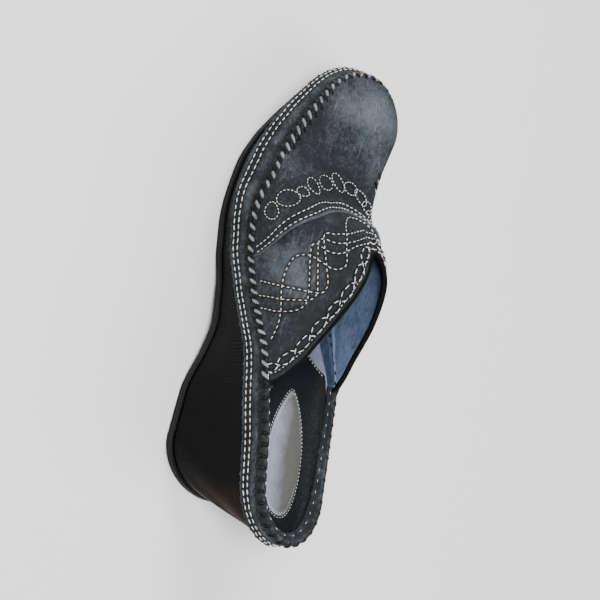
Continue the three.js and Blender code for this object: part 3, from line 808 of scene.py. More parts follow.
# %% Chain and loops
def arc_share(places, count):
    """The line again, with count places evenly spaced."""
    point = vamp_point(places[:, 1], places[:, 0])
    way = np.concatenate([[0], np.cumsum(np.linalg.norm(np.diff(point, axis=0), axis=1))])
    even = np.linspace(0, way[-1], count)
    return np.column_stack([np.interp(even, way, places[:, 0]), np.interp(even, way, places[:, 1])])


def crossing_waves(middle, half, count, fullness):
    """Two waves about a middle line that cross between each pair of loops."""
    samples = count * 16 + 1
    middle = arc_share(middle, samples)
    phase = np.sin(np.linspace(0, math.pi * count, samples))
    swing = half * np.sign(phase) * np.abs(phase) ** fullness
    return [np.column_stack(beside(middle[:, 0], middle[:, 1], swing * way)) for way in (1, -1)]


def ring_about(turn, station, across, along, lean):
    """A closed loop round a place on the upper, its half sizes in millimetres."""
    step = 0.002
    by_turn = (vamp_point(station, turn + step) - vamp_point(station, turn - step)) / (2 * step)
    by_station = (vamp_point(station + step, turn) - vamp_point(station - step, turn)) / (2 * step)
    forward = unit(by_station)
    drift = by_turn @ forward
    angle = np.linspace(0, 2 * math.pi, 72, endpoint=False)
    aside = across * np.cos(angle + lean)
    ahead = along * np.sin(angle)
    more_turn = aside / np.linalg.norm(by_turn - forward * drift)
    more_station = (ahead - more_turn * drift) / np.linalg.norm(by_station)
    return np.column_stack([np.clip(turn + more_turn, 0.004, 0.996), station + more_station])


loops = [ring_about(**row) for row in LOOPS]
link_middle = row_beside(collar_station, LINK_BESIDE)[6:-6]
links = crossing_waves(link_middle, LINK_HALF, LINKS, fullness=0.45)
print("sewn lines on the upper", len(edge_rows) + len(loops) + len(links) + 1 + len(knotwork))


# %% How far a place lies from the sewn lines
def pull(points, lines, reach):
    """1 on a sewn line, fading to 0 over reach millimetres."""
    dense = []
    for line in lines:
        steps = np.linspace(0, len(line) - 1, len(line) * 4)
        places = np.arange(len(line))
        dense.append(np.stack([np.interp(steps, places, line[:, k]) for k in range(3)], -1))
    dense = np.concatenate(dense)
    tree = KDTree(len(dense))
    for index, point in enumerate(dense):
        tree.insert(point, index)
    tree.balance()
    flat = points.reshape(-1, 3)
    distance = np.array([tree.find(point)[2] for point in flat]).reshape(points.shape[:-1])
    return np.exp(-(distance / reach) ** 2)


first_line = on_saddle(knotwork[0])[0]
above_line = first_line[40:41] + [[0, 0, 0], [0, 0, 1]]
print("pull at a line, and 1 mm above it", pull(above_line, [first_line], 1.0).round(2))

# %% [markdown]
# ## The saddle and the vamp
# The saddle runs from the collar to under the vamp, and the vamp laps over it with a raw edge that
# is rubbed pale. Folds and dents could be sculpted, but a sculpt can't be scaled with the shoe. So
# each slow dent, each scuff and each patch of painted highlight over the toe is a row of a table: its
# place, its reach and its strength. Points crowd towards the seam on both sides, where the leather
# turns down.

# %% Leather and its dents
PANEL = 1.3                          # thickness of the outer leather
GROOVE = 0.45                        # how deep a sewn line pulls in
OVERLAP = 5.0                        # how far the saddle reaches under the vamp


def crowded(count):
    return 0.5 * (1 - np.cos(math.pi * np.linspace(0, 1, count)))


def wobble(point, size, seed):
    """Slow unevenness of a surface, between -1 and 1."""
    x, y, z = (point[..., k] / size for k in range(3))
    waves = np.sin(x * 1.7 + seed) * np.sin(y * 2.1 + seed * 2.3)
    waves = waves + np.sin(z * 1.9 + x * 0.8 + seed * 1.3)
    return (waves + 0.5 * np.sin(x * 3.7 + y * 2.9 + seed * 0.7)) / 2.5


def dents(points, rows):
    """Soft swells added up, by rows of turn, station, reach and height."""
    depth = np.zeros(points.shape[:-1])
    for turn, station, reach, amount in rows:
        centre = vamp_point(np.array(station), np.array(turn))
        depth += amount * np.exp(-((points - centre) ** 2).sum(-1) / reach ** 2)
    return depth


print("wobble of one place", wobble(np.array([[100.0, 10.0, 50.0]]), 6, 1.0).round(2))

# %% Saddle
DENTS = (                            # turn, station, reach and height; a dent is below 0
    (0.16, 0.50, 9, 0.5), (0.30, 0.46, 8, -0.5), (0.33, 0.60, 9, 0.4), (0.60, 0.61, 10, -0.5),
    (0.72, 0.52, 9, 0.5), (0.10, 0.36, 8, -0.4),
)
SCUFFS = (                           # turn, station, reach and strength
    (0.10, 0.52, 15, 0.75), (0.17, 0.485, 9, 0.55), (0.06, 0.40, 10, 0.25), (0.30, 0.63, 10, 0.2),
    (0.50, 0.62, 12, 0.15), (0.82, 0.50, 12, 0.45),
)
saddle_turns = crowded(250)[None, :]
saddle_share = np.linspace(0, 1, 150)[:, None]
saddle_back = collar_station(saddle_turns)
saddle_front = vamp_station(saddle_turns) + OVERLAP / LENGTH
saddle_stations = saddle_back + (saddle_front - saddle_back) * saddle_share
saddle_surface = vamp_point(saddle_stations, saddle_turns * np.ones_like(saddle_share))
saddle_normal = vamp_normal(saddle_stations, saddle_turns * np.ones_like(saddle_share))
saddle_lines = [on_saddle(line)[0] for line in [*links, collar_row, *knotwork]]
saddle_groove = pull(saddle_surface, saddle_lines, 0.95)
under_vamp = np.clip((saddle_stations - vamp_station(saddle_turns)) * LENGTH / 2, 0, 1)
relief = dents(saddle_surface, DENTS) * (1 - under_vamp) - GROOVE * saddle_groove
relief = relief + 0.12 * wobble(saddle_surface, 6, 1.0) - 0.35 * under_vamp
seam_close = np.exp(-(np.minimum(saddle_turns, 1 - saddle_turns) / 0.03) ** 2)
saddle_wear = np.clip(dents(saddle_surface, SCUFFS) + 0.25 * seam_close, 0, 1)
# Along the sewn lines the finish darkens the saddle with painted shade.
saddle = shell(
    "saddle", saddle_surface + saddle_normal * relief[..., None],
    saddle_surface - saddle_normal * PANEL, upper_leather,
    values={"groove_shade": saddle_groove, "wear": saddle_wear},
)

# %% Vamp
VAMP_DENTS = (
    (0.30, 0.74, 13, 0.7), (0.62, 0.74, 14, -0.7), (0.42, 0.86, 13, -0.5), (0.75, 0.84, 12, 0.9),
    (0.50, 0.93, 12, 0.5), (0.15, 0.80, 9, -0.4),
)
# Turn, station, reach and strength: scuffs on the sides, and over the top of the toe patches of painted
# highlight.
VAMP_SCUFFS_AND_TOE_HIGHLIGHT = (
    (0.40, 0.93, 16, 0.75), (0.60, 0.92, 14, 0.6), (0.22, 0.90, 12, 0.45), (0.50, 0.87, 16, 0.3),
    (0.10, 0.72, 12, 0.4), (0.75, 0.80, 12, 0.35), (0.06, 0.60, 9, 0.3), (0.85, 0.90, 10, 0.3),
)
vamp_turns = crowded(230)[None, :]
vamp_share = np.linspace(0, 1, 190)[:, None]
vamp_stations = 1 - (1 - vamp_station(vamp_turns)) * (1 - vamp_share) ** 1.8
vamp_grid_turns = vamp_turns * np.ones_like(vamp_share)
vamp_surface = vamp_point(vamp_stations, vamp_grid_turns, VAMP_STEP)
vamp_out = vamp_normal(np.minimum(vamp_stations, 0.996), vamp_grid_turns)
vamp_lines = [on_vamp(line)[0] for line in [*edge_rows, *loops]]
vamp_groove = pull(vamp_surface, vamp_lines, 0.75)
from_edge = (vamp_stations - vamp_station(vamp_turns)) * LENGTH
raw_edge = np.exp(-(from_edge / 1.3) ** 2)
to_seam = np.minimum(vamp_grid_turns, 1 - vamp_grid_turns)
vamp_relief = dents(vamp_surface, VAMP_DENTS) * np.clip(to_seam / 0.08, 0, 1)
vamp_relief = vamp_relief - GROOVE * vamp_groove + 0.15 * wobble(vamp_surface, 7, 2.0)
vamp_relief = vamp_relief + raw_edge * 0.18 * wobble(vamp_surface, 0.6, 5.0)
# Wear lightens the vamp: its rubbed raw edge, the scuffs, and painted highlight over the toe; the
# groove value darkens it along the sewn lines with painted shade.
vamp_wear_and_highlight = np.clip(dents(vamp_surface, VAMP_SCUFFS_AND_TOE_HIGHLIGHT) + raw_edge, 0, 1.2)
vamp = shell(
    "vamp", vamp_surface + vamp_out * vamp_relief[..., None],
    vamp_surface - vamp_out * (PANEL - 0.2), upper_leather,
    values={"groove_shade": vamp_groove, "wear": vamp_wear_and_highlight},
)

# %% [markdown]
# ## The band and the rim at the heel
# The band stands round the whole sole. Its lower edge is cut raw and frays out over the wedge; its
# upper edge is laced to the upper. Behind the collar it rolls over the rim, down to the sock. A
# curve with a bevel could give a band, but not one whose height and lean change on the way, so it
# is a grid on the outline, and the rim is one section carried along its top.

# %% Band
FRAY_WAVES = ((151, 0.0), (263, 1.7), (89, 0.4))   # waves in one way round, and their start
band_shares = np.linspace(0, 1, 1300, endpoint=False)[:, None]
band_steps = (np.linspace(0, 0.2, 7), np.linspace(0.24, 0.8, 12), np.linspace(0.84, 1.02, 6))
band_ups = np.concatenate(band_steps)[None, :]
band_grid_shares = band_shares * np.ones_like(band_ups)
band_grid_ups = band_ups * np.ones_like(band_shares)
fray = sum(np.sin(band_shares * 2 * math.pi * waves + start) for waves, start in FRAY_WAVES)
low = np.clip(1 - band_ups / 0.2, 0, 1)
top = np.clip((band_ups - 0.78) / 0.22, 0, 1)
flare = (RAW_EDGE_FLARE + 0.11 * fray) * low ** 1.3 + 0.45 * top
band_drop = -0.22 * low * fray / 2 - 0.5 * low
band_surface = band_point(band_grid_shares, band_grid_ups, -flare)
band_surface[..., 2] += band_drop + 0.7 * top ** 2
band_normal = grid_normals(band_surface, closed=True)
# The stitch rows and the fold under the seam sink in, and the finish darkens them with painted shade.
band_groove = sum(np.exp(-((band_grid_ups - up) * BAND_RISE / 0.7) ** 2) for up in BAND_ROWS)
fold = np.exp(-((band_ups - 0.78) / 0.07) ** 2) * np.ones_like(band_shares)
band_relief = -0.28 * band_groove - 0.3 * fold + 0.2 * wobble(band_surface, 5, 3.0)
inside_band = band_point(np.array(band_shares[5, 0]), np.array(0.3), 5.0)
band_normal = band_normal * np.sign(band_normal[5, 5] @ (band_surface[5, 5] - inside_band))
# Painted highlight: pale streaks along the band's middle, where its face is lit; the paleness of the
# raw edge below is wear.
band_painted_highlight = 0.3 + 0.5 * np.clip(wobble(band_surface, 8, 4.0), 0, 1)
band_edge_wear_and_highlight = np.clip(0.6 * low ** 2 + band_painted_highlight * np.exp(-((band_ups - 0.58) / 0.2) ** 2), 0, 1.2)
band_inner = band_point(band_grid_shares, band_grid_ups, PANEL)
band_inner[..., 2] += band_drop
band = shell(
    "band", band_surface + band_normal * band_relief[..., None], band_inner, upper_leather, closed=True,
    values={"groove_shade": np.clip(0.75 * band_groove + 0.7 * fold, 0, 1), "wear": band_edge_wear_and_highlight},
)

# %% Rim at the heel
SEAM_ENDS = (0.285, 0.330)           # stations of the seam's rear ends, lateral and medial
HEEL_ENDS = (band_loop.share_at(SEAM_ENDS[0], 1), band_loop.share_at(SEAM_ENDS[1], -1) - 1)
RIM = (                              # inset and height, from the seam's top
    (-0.45, -2.2), (-0.62, -1.0), (-0.45, 0.1), (0.1, 0.9), (1.0, 1.3), (1.9, 1.2), (2.7, 0.7),
    (3.3, 0.1), (3.9, -0.35), (4.6, -0.75), (5.2, -1.1), (5.7, -1.5), (5.9, -2.2),
)
RIM_WIDTH = table(                   # how wide the rim's inner part is, along the way round
    "share width",
    (-0.140, 0.7), (-0.080, 0.8), (-0.045, 1.1), (-0.015, 1.0), (0.030, 0.9), (0.120, 0.75),
)
rim_width = column(RIM_WIDTH, "width", "share")
rim_shares = np.linspace(HEEL_ENDS[1], HEEL_ENDS[0], 460)[:, None]
rim_section = spline(RIM, 4)
rim_aside, rim_lift = rim_section[None, :, 0], rim_section[None, :, 1]
rim_inset = rim_aside * np.where(rim_aside > 0, rim_width(rim_shares), 1)
rim_grid_shares = rim_shares * np.ones_like(rim_aside)
rim_surface = band_point(rim_grid_shares, np.ones_like(rim_grid_shares), rim_inset)
rim_surface[..., 2] += rim_lift
rim_normal = grid_normals(rim_surface)
rim_normal = rim_normal * np.sign(rim_normal[230, len(rim_section) // 2, 2])
rim_relief = 0.22 * wobble(rim_surface, 3.5, 6.0)
# Pale scuffed spots at random, and paler along the crest of the roll.
rim_scuffs_and_pale_crest = 0.05 + 0.4 * wobble(rim_surface, 4, 7.0) * wobble(rim_surface, 1.7, 3.0)
rim_scuffs_and_pale_crest = np.clip(rim_scuffs_and_pale_crest + 0.25 * np.exp(-((rim_aside - 1.6) / 0.9) ** 2), 0, 1)
RIM_LEATHER = 0.9
rim = shell(
    "heel_rim", rim_surface + rim_normal * rim_relief[..., None],
    rim_surface - rim_normal * RIM_LEATHER, upper_leather, values={"wear": rim_scuffs_and_pale_crest},
)

# %% [markdown]
# ## Lining and collar binding
# The blue lining follows the outer leather on the inside. The outside moved inwards could fold over
# itself in the seam's corner, so the lining is a grid of its own that also runs down inside the band.
# Along the collar both are bound with a thick black strip that rolls over the edge: one oval
# section along the collar's line.

# %% Lining
lining_side = 14
lining_across = 130
lining_along = np.linspace(0, 1, 150)[:, None]
side_up = np.linspace(0.12, 1, lining_side)
lining_turns = (np.zeros(lining_side), crowded(lining_across)[1:-1], np.ones(lining_side))
lining_turn = np.concatenate(lining_turns)[None, :]
lining_up = np.concatenate([side_up, np.ones(lining_across - 2), side_up[::-1]])[None, :]
lining_start = collar_station(lining_turn) + 0.002
lining_station = lining_start + (0.985 - lining_start) * lining_along
lining_grid_turn = lining_turn * np.ones_like(lining_along)
lining_surface = vamp_point(lining_station, lining_grid_turn)
medial_start = lining_side + lining_across - 2
for column_at in [*range(lining_side), *range(medial_start, lining_turn.shape[1])]:
    side = 1 if column_at < lining_side else -1
    shares = band_loop.share_at(lining_station[:, column_at], side)
    ups = np.full(len(shares), lining_up[0, column_at])
    lining_surface[:, column_at] = band_point(shares, ups)
lining_normal = grid_normals(lining_surface)
lining_normal = lining_normal * np.sign(lining_normal[20, lining_turn.shape[1] // 2, 2])
lining_seam = np.exp(-(((lining_grid_turn - 0.985) / 0.006) ** 2))
lining_edge = np.exp(-((lining_along / 0.012) ** 2)) * np.ones_like(lining_grid_turn)
lining_depth = WALL + 0.25 * wobble(lining_surface, 6, 8.0) + 0.5 * lining_seam
lining_wear = 0.4 * wobble(lining_surface, 9, 9.0) + 0.9 * lining_seam + 1.2 * lining_edge
lining = shell(
    "lining", lining_surface - lining_normal * (PANEL + 0.1),
    lining_surface - lining_normal * lining_depth[..., None], lining_leather,
    values={"wear": np.clip(lining_wear, 0, 1.5)},
)

# %% Collar binding
BINDING_SINK = 1.15                  # how far its middle lies under the leather's face
BINDING_HALVES = (1.15, 1.55)        # half its thickness and half its height
collar_steps = (np.linspace(0, 0.02, 8)[:-1], np.linspace(0.02, 0.98, 260), np.linspace(0.98, 1, 8)[1:])
collar_turns = np.concatenate(collar_steps)
collar_stations = collar_station(collar_turns)
collar_line = vamp_point(collar_stations, collar_turns)
collar_normal = vamp_normal(collar_stations, collar_turns)
collar_line = collar_line - collar_normal * BINDING_SINK
collar_side = unit(np.cross(unit(np.gradient(collar_line, axis=0)), collar_normal))
angles = np.linspace(0, 2 * math.pi, 20, endpoint=False)
binding_section = np.column_stack([np.cos(angles), np.sin(angles)]) * BINDING_HALVES
binding = tube(
    "collar_binding", collar_line, collar_side, collar_normal, binding_section, binding_leather)

# %% [markdown]
# ## Sock and heel pad
# The footbed is cupped at the heel and hollow under the forefoot. A black leather sock covers the
# heel part, its curved front edge sewn down, and carries a padded oval with two rows of stitches.
# Cloth simulation could drape them, but leather glued to a board only follows it. So each layer
# reads the height of the layer below and lies a little over it.

# %% Footbed
def sock_side(station, side, share=1.0, easing=SOCK_EASING):
    rise = BAND_RISE * seam_rise(station)
    height = SOCK_THICKNESS + (rise - SOCK_DROP - SOCK_THICKNESS) * heel_form(station)
    return band_point(band_loop.share_at(station, side), share * height / rise, SOCK_INSET + easing)


def trough(station, share):
    ends = round_end(station * LENGTH, HEEL_ROUND) * round_end((1 - station) * LENGTH, TOE_ROUND)
    return -(1 - np.abs(2 * share - 1) ** CUP_EDGE) * ends


def hollow(station, share):
    return FOREFOOT_DEPTH * forefoot_form(station) * trough(station, share)


def cup(station, share):
    return hollow(station, share) + CUP_DEPTH * heel_form(station) * trough(station, share)


def sock_point(station, share, lift=0.0):
    """A point over the footbed: share is 0 at the medial and 1 at the lateral edge."""
    station, share = np.broadcast_arrays(np.asarray(station, float), np.asarray(share, float))
    medial, lateral = sock_side(station, -1), sock_side(station, 1)
    point = medial + (lateral - medial) * share[..., None]
    point[..., 2] += cup(station, share) + lift
    return point


print("depth of the cup at the heel", float(-cup(0.15, 0.5)))



# %% A solid between outlines
def slab(name, stations, levels, steps, crown, base, material, values=None):
    """A solid from heel to toe between outlines, given from the lowest to the highest."""
    left = [level(stations, 1) for level in levels]
    right = [level(stations, -1) for level in levels]
    share = crowded(steps)[None, :]
    top = right[-1][:, None] + (left[-1] - right[-1])[:, None] * share[..., None]
    top[..., 2] += crown(stations[:, None], share)
    bottom = left[0][:, None] + (right[0] - left[0])[:, None] * share[..., None]
    bottom[..., 2] += base(stations[:, None], share)
    ring = [top, *[level[:, None] for level in left[::-1][1:]], bottom[:, 1:]]
    ring += [level[:, None] for level in right[1:]]
    grid = np.concatenate(ring, 1)
    faces = grid_faces(*grid.shape[:2], False)
    return make_mesh(name, grid.reshape(-1, 3), faces, material, values(grid) if values else None)


def flat(station, share):
    return 0 * station * share


def footbed_level(share):
    return lambda station, side: sock_side(station, side, share, 0.0)


footbed = slab(
    "footbed_sock", crowded(300), [footbed_level(0.0), footbed_level(0.8), sock_side],
    60, cup, hollow, sock_leather,
)

# %% Heel sock
SOCK_FRONT = (0.352, 0.085)          # station of its front edge at the sides, and more in the middle
SOCK = 0.75                          # thickness of the sock's leather
SOCK_BACK = 0.012                    # station where it starts


def sock_front(share):
    return SOCK_FRONT[0] + SOCK_FRONT[1] * np.sin(math.pi * share) ** 1.3


sock_share = np.linspace(0.02, 0.98, 110)[None, :]
sock_along = np.linspace(0, 1, 150)[:, None]
sock_stations = SOCK_BACK + (sock_front(sock_share) - SOCK_BACK) * sock_along
to_front = (sock_front(sock_share) - sock_stations) * LENGTH
sock_edge = 1 - np.clip(to_front / 1.2, 0, 1) ** 0.5
sock_line = np.exp(-((to_front - 2.0) / 0.7) ** 2)
sock_top = sock_point(sock_stations, sock_share, SOCK)
sock_top[..., 2] -= 0.35 * sock_edge + 0.2 * sock_line
sock_top[..., 2] += 0.12 * wobble(sock_top, 9, 10.0)
heel_sock = shell("heel_sock", sock_top, sock_point(sock_stations, sock_share, 0.05), black_leather)

# %% Heel pad
PAD_MIDDLE = PAD_HEEL + 0.5 * PAD_LENGTH
PAD_MEDIAL = 0.87                    # the pad is a little narrower on the medial side
POINT_TAPER = 0.35                   # how much narrower its pointed end is


def sock_height(x, y):
    """Height of the footbed under a place, by a few steps towards its station."""
    station = x / LENGTH
    for _ in range(6):
        medial, lateral = sock_side(station, -1), sock_side(station, 1)
        share = (y - medial[..., 1]) / (lateral[..., 1] - medial[..., 1])
        height = medial[..., 2] + (lateral[..., 2] - medial[..., 2]) * share + cup(station, share)
        station = station + (x - medial[..., 0] - (lateral[..., 0] - medial[..., 0]) * share) / LENGTH
    return height


def pad_plan(reach, angle, grow=0.0):
    """A place in the pad's outline, a pointed oval that is narrower towards the toe."""
    x = PAD_MIDDLE + (0.5 * PAD_LENGTH + grow) * reach * np.cos(angle)
    width = (0.5 * PAD_WIDTH + grow) * (1 - PAD_TAPER * np.cos(angle))
    point_end = 1 - POINT_TAPER * np.clip(np.cos(angle), 0, 1) ** 3
    point_end = np.where(np.sin(angle) < 0, PAD_MEDIAL * point_end, point_end)
    return x, width * reach * np.sin(angle) * point_end


pad_reach = np.concatenate([np.linspace(0, 0.8, 22), np.linspace(0.82, 1, 14)])[None, :]
pad_angle = np.linspace(0, 2 * math.pi, 160, endpoint=False)[:, None]
pad_x, pad_y = pad_plan(pad_reach, pad_angle)
pad_dome = PAD_THICKNESS * (1 - pad_reach ** 5) * 0.82 + 0.45
pad_dome = pad_dome - 0.35 * np.exp(-((pad_reach - 0.9) / 0.03) ** 2)
pad_bottom = np.stack([pad_x, pad_y, sock_height(pad_x, pad_y) + SOCK * 0.5], -1)
pad_top = pad_bottom.copy()
pad_top[..., 2] = sock_height(pad_x, pad_y) + SOCK + pad_dome + 0.06 * wobble(pad_bottom, 3, 11.0)
pad_wear = np.clip(-0.1 + pad_y / 8, -0.4, 0.9) + 0.7 * np.exp(-((1 - pad_reach) / 0.05) ** 2)
heel_pad = shell(
    "heel_pad_cushion", pad_top, pad_bottom, pad_leather, closed=True, values={"wear": pad_wear})

# %% [markdown]
# ## Wedge and outsole
# The wedge's covering is embossed with fine wavy ribs that run up its side. Bump would do from far
# off, but their edge shows against the floor, so they are real relief: the side's points stand in
# and out by the rib's depth, and only its grain is left to the finish.

# %% Outsole
LIP = 0.9                            # round of the outsole's upper edge


def sole_level(distance, height):
    def level(station, side):
        plan, _ = sole_loop.at(sole_loop.share_at(station, side), distance)
        return np.concatenate([plan, (underside(plan[:, 0]) + height)[:, None]], 1)

    return level


def round_levels():
    """The outsole's side from below: a small round at each edge and a fine line above the middle."""
    quarter = np.linspace(0, math.pi / 2, 5)
    low = [(OUTSOLE_EDGE * (1 - math.sin(t)), OUTSOLE_EDGE * (1 - math.cos(t))) for t in quarter]
    top = OUTSOLE_THICKNESS
    high = [(LIP * (1 - math.cos(t)), top - LIP + LIP * math.sin(t)) for t in quarter]
    return [*low, (0.0, 2.2), (0.28, 2.5), (0.0, 2.8), *high]


outsole = slab(
    "outsole_rubber", crowded(340), [sole_level(*pair) for pair in round_levels()], 24, flat, flat,
    rubber.material,
)

# %% Wedge
RIB_PITCH = 1.9
RIB_DEPTH = 0.26
HOLLOW_SIDE = 0.8                    # how far the side falls in half way up, at the heel


def wedge_level(share):
    foot = sole_level(OUTSOLE_LEDGE, OUTSOLE_THICKNESS + CLEARANCE)

    def level(station, side):
        around = band_loop.share_at(station, side)
        plan, _ = band_loop.at(around, WEDGE_TUCK)
        head = np.concatenate([plan, (ledge(plan[:, 0]) - CLEARANCE)[:, None]], 1)
        point = foot(station, side) * (1 - share) + head * share
        way = around * band_loop.length
        height = point[:, 2]
        bend = 1.3 * np.sin(height / 6.5 + way / 23) + 0.8 * np.sin(height / 3.1 - way / 11 + 2)
        phase = 2 * math.pi * (way + 0.22 * height + bend) / RIB_PITCH
        rib = np.sin(phase) * (0.7 + 0.3 * np.sin(way / 3.7 + height / 5.3))
        fall = HOLLOW_SIDE * math.sin(math.pi * share) * np.clip((height - PLATFORM) / 30, 0, 1)
        out = RIB_DEPTH * rib * min(1, 12 * share, 12 * (1 - share)) - fall
        inward = band_loop.read(band_loop.inward, around)
        point[:, :2] -= inward * out[:, None]
        return point

    return level


def brown_reflection_at(grid):
    """Painted brown reflection, low at the back of the heel."""
    back = np.clip(1 - grid[..., 0] / 26, 0, 1) ** 1.4
    low_side = np.exp(-((grid[..., 2] - 26) / 22) ** 2)
    return {"burnish": np.clip(1.2 * back * low_side, 0, 1).reshape(-1)}


wedge = slab(
    "wedge_covering", crowded(1100), [wedge_level(share) for share in np.linspace(0, 1, 24)], 12,
    hollow, flat, covering.material, brown_reflection_at,
)

# %% [markdown]
# ## Stitches
# A sewn row repeats one stitch and one needle hole along a line; the hole is a near-black spot of
# painted shade where the thread goes in. Each could be placed in a loop, but that is what Geometry
# Nodes do well, and sizes stay inputs that can be changed later. The line is a mesh of edges whose
# points know which way is up from the leather. The tree resamples it at half the pitch and sets
# stitches and holes by turns, each a little uneven, as drawn from a fixed seed.

# %% Helpers for trees
def tree_for(name, sockets):
    """An empty tree with a geometry in, named inputs and a geometry out."""
    tree = bpy.data.node_groups.new(name, "GeometryNodeTree")
    tree.interface.new_socket("Geometry", in_out="INPUT", socket_type="NodeSocketGeometry")
    for label, kind in sockets:
        tree.interface.new_socket(label, in_out="INPUT", socket_type="NodeSocket" + kind)
    tree.interface.new_socket("Geometry", in_out="OUTPUT", socket_type="NodeSocketGeometry")
    return tree, tree.nodes.new("NodeGroupInput"), tree.nodes.new("NodeGroupOutput")


def add(tree, kind, settings=None, inputs=None):
    """A node with its settings, and values or links for its sockets by name or number."""
    node = tree.nodes.new(kind)
    for key, value in (settings or {}).items():
        setattr(node, key, value)
    for key, value in (inputs or {}).items():
        if isinstance(value, bpy.types.NodeSocket):
            tree.links.new(value, node.inputs[key])
        else:
            node.inputs[key].default_value = value
    return node


def aligned(tree):
    """Rotation with X along the row and Z up from the leather."""
    along = add(tree, "GeometryNodeInputTangent")
    upright = add(tree, "GeometryNodeInputNamedAttribute", {"data_type": "FLOAT_VECTOR"},
                  {"Name": "upright"})
    first = add(tree, "FunctionNodeAlignRotationToVector", {"axis": "X"}, {"Vector": along.outputs[0]})
    return add(tree, "FunctionNodeAlignRotationToVector", {"axis": "Z", "pivot_axis": "X"},
               {"Rotation": first.outputs[0], "Vector": upright.outputs[0]})


def scaled_vector(tree, *parts):
    return add(tree, "ShaderNodeCombineXYZ", None, dict(enumerate(parts))).outputs[0]


def reckoned(tree, operation, *terms):
    """One Math node on numbers or sockets."""
    return add(tree, "ShaderNodeMath", {"operation": operation}, dict(enumerate(terms))).outputs[0]


print("helpers for node trees are ready")


# %% Tree for sewn rows
SWING = 0.12                         # radians that a stitch may lie askew


def sewn_row_tree():
    tree, given, result = tree_for("Sewn row", [
        ("Half pitch", "Float"), ("Stitch length", "Float"), ("Thread width", "Float"),
        ("Thread height", "Float"), ("Hole width", "Float"), ("Unevenness", "Float"), ("Seed", "Int"),
        ("Thread", "Material"), ("Hole", "Material"),
    ])
    curve = add(tree, "GeometryNodeMeshToCurve", None, {"Mesh": given.outputs["Geometry"]})
    even = add(tree, "GeometryNodeResampleCurve", {"mode": "LENGTH"},
               {"Curve": curve.outputs[0], "Length": given.outputs["Half pitch"]})
    ball = add(tree, "GeometryNodeMeshUVSphere", None, {"Segments": 8, "Rings": 5, "Radius": 0.5})
    smooth = add(tree, "GeometryNodeSetShadeSmooth", None, {"Geometry": ball.outputs[0]})
    uneven = given.outputs["Unevenness"]
    less = reckoned(tree, "SUBTRACT", 1.0, uneven)
    more = reckoned(tree, "MULTIPLY_ADD", uneven, 0.4, 1.0)
    vary = add(tree, "FunctionNodeRandomValue", {"data_type": "FLOAT_VECTOR"}, {
        "Min": scaled_vector(tree, less, less, less), "Max": scaled_vector(tree, more, more, more),
        "Seed": given.outputs["Seed"]})
    swing = add(tree, "FunctionNodeRandomValue", {"data_type": "FLOAT"},
                {2: -SWING, 3: SWING, "Seed": given.outputs["Seed"]})
    skew = add(tree, "FunctionNodeRotateRotation", {"rotation_space": "LOCAL"}, {
        "Rotation": aligned(tree).outputs[0],
        "Rotate By": scaled_vector(tree, 0.0, 0.0, swing.outputs[1])})
    index = add(tree, "GeometryNodeInputIndex")
    odd = add(tree, "FunctionNodeIntegerMath", {"operation": "MODULO"}, {0: index.outputs[0], 1: 2})
    even_turn = add(tree, "FunctionNodeIntegerMath", {"operation": "SUBTRACT"},
                    {0: 1, 1: odd.outputs[0]})
    join = add(tree, "GeometryNodeJoinGeometry")
    # Stitches on the even points; on the odd ones a near-black spot for the needle hole, painted shade.
    sizes = (
        (even_turn, "Thread", ("Stitch length", "Thread width", "Thread height")),
        (odd, "Hole", ("Hole width", "Hole width", "Thread height")),
    )
    for choice, finish, parts in sizes:
        scale = scaled_vector(tree, *(given.outputs[part] for part in parts))
        shape = add(tree, "GeometryNodeTransform", None,
                    {"Geometry": smooth.outputs[0], "Scale": scale})
        copies = add(tree, "GeometryNodeInstanceOnPoints", None, {
            "Points": even.outputs[0], "Selection": choice.outputs[0], "Instance": shape.outputs[0],
            "Rotation": skew.outputs[0], "Scale": vary.outputs[0]})
        real = add(tree, "GeometryNodeRealizeInstances", None, {"Geometry": copies.outputs[0]})
        dyed = add(tree, "GeometryNodeSetMaterial", None,
                   {"Geometry": real.outputs[0], "Material": given.outputs[finish]})
        tree.links.new(dyed.outputs[0], join.inputs[0])
    tree.links.new(join.outputs[0], result.inputs[0])
    return tree


sewn_row = sewn_row_tree()
print("tree for sewn rows", len(sewn_row.nodes), "nodes")


# %% From a line to a plain mesh
def line_object(name, lines, closed=False):
    """A mesh of edges along lines of (points, upright) in millimetres."""
    points = np.concatenate([(line - MIDDLE) * MM for line, _ in lines])
    upright = np.concatenate([up for _, up in lines])
    edges, start = [], 0
    for line, _ in lines:
        count = len(line)
        edges += [(start + i, start + i + 1) for i in range(count - 1)]
        if closed:
            edges.append((start + count - 1, start))
        start += count
    mesh = bpy.data.meshes.new(name)
    mesh.from_pydata(points.tolist(), edges, [])
    layer = mesh.attributes.new("upright", "FLOAT_VECTOR", "POINT")
    layer.data.foreach_set("vector", np.ascontiguousarray(upright, np.float32).ravel())
    thing = bpy.data.objects.new(name, mesh)
    bpy.context.scene.collection.objects.link(thing)
    return thing


def grown(name, start, tree, inputs):
    """The tree's result on the start object, as a plain mesh object of its own."""
    modifier = start.modifiers.new(tree.name, "NODES")
    modifier.node_group = tree
    for item in tree.interface.items_tree:
        if item.item_type == "SOCKET" and item.in_out == "INPUT" and item.name in inputs:
            modifier[item.identifier] = inputs[item.name]
    graph = bpy.context.evaluated_depsgraph_get()
    mesh = bpy.data.meshes.new_from_object(start.evaluated_get(graph), depsgraph=graph)
    mesh.name = name
    start.modifiers.clear()
    bpy.data.objects.remove(start)
    for key in [layer.name for layer in mesh.attributes if layer.name == "upright"]:
        mesh.attributes.remove(mesh.attributes[key])
    thing = bpy.data.objects.new(name, mesh)
    bpy.context.scene.collection.objects.link(thing)
    print(name, len(mesh.polygons), "faces")
    return thing


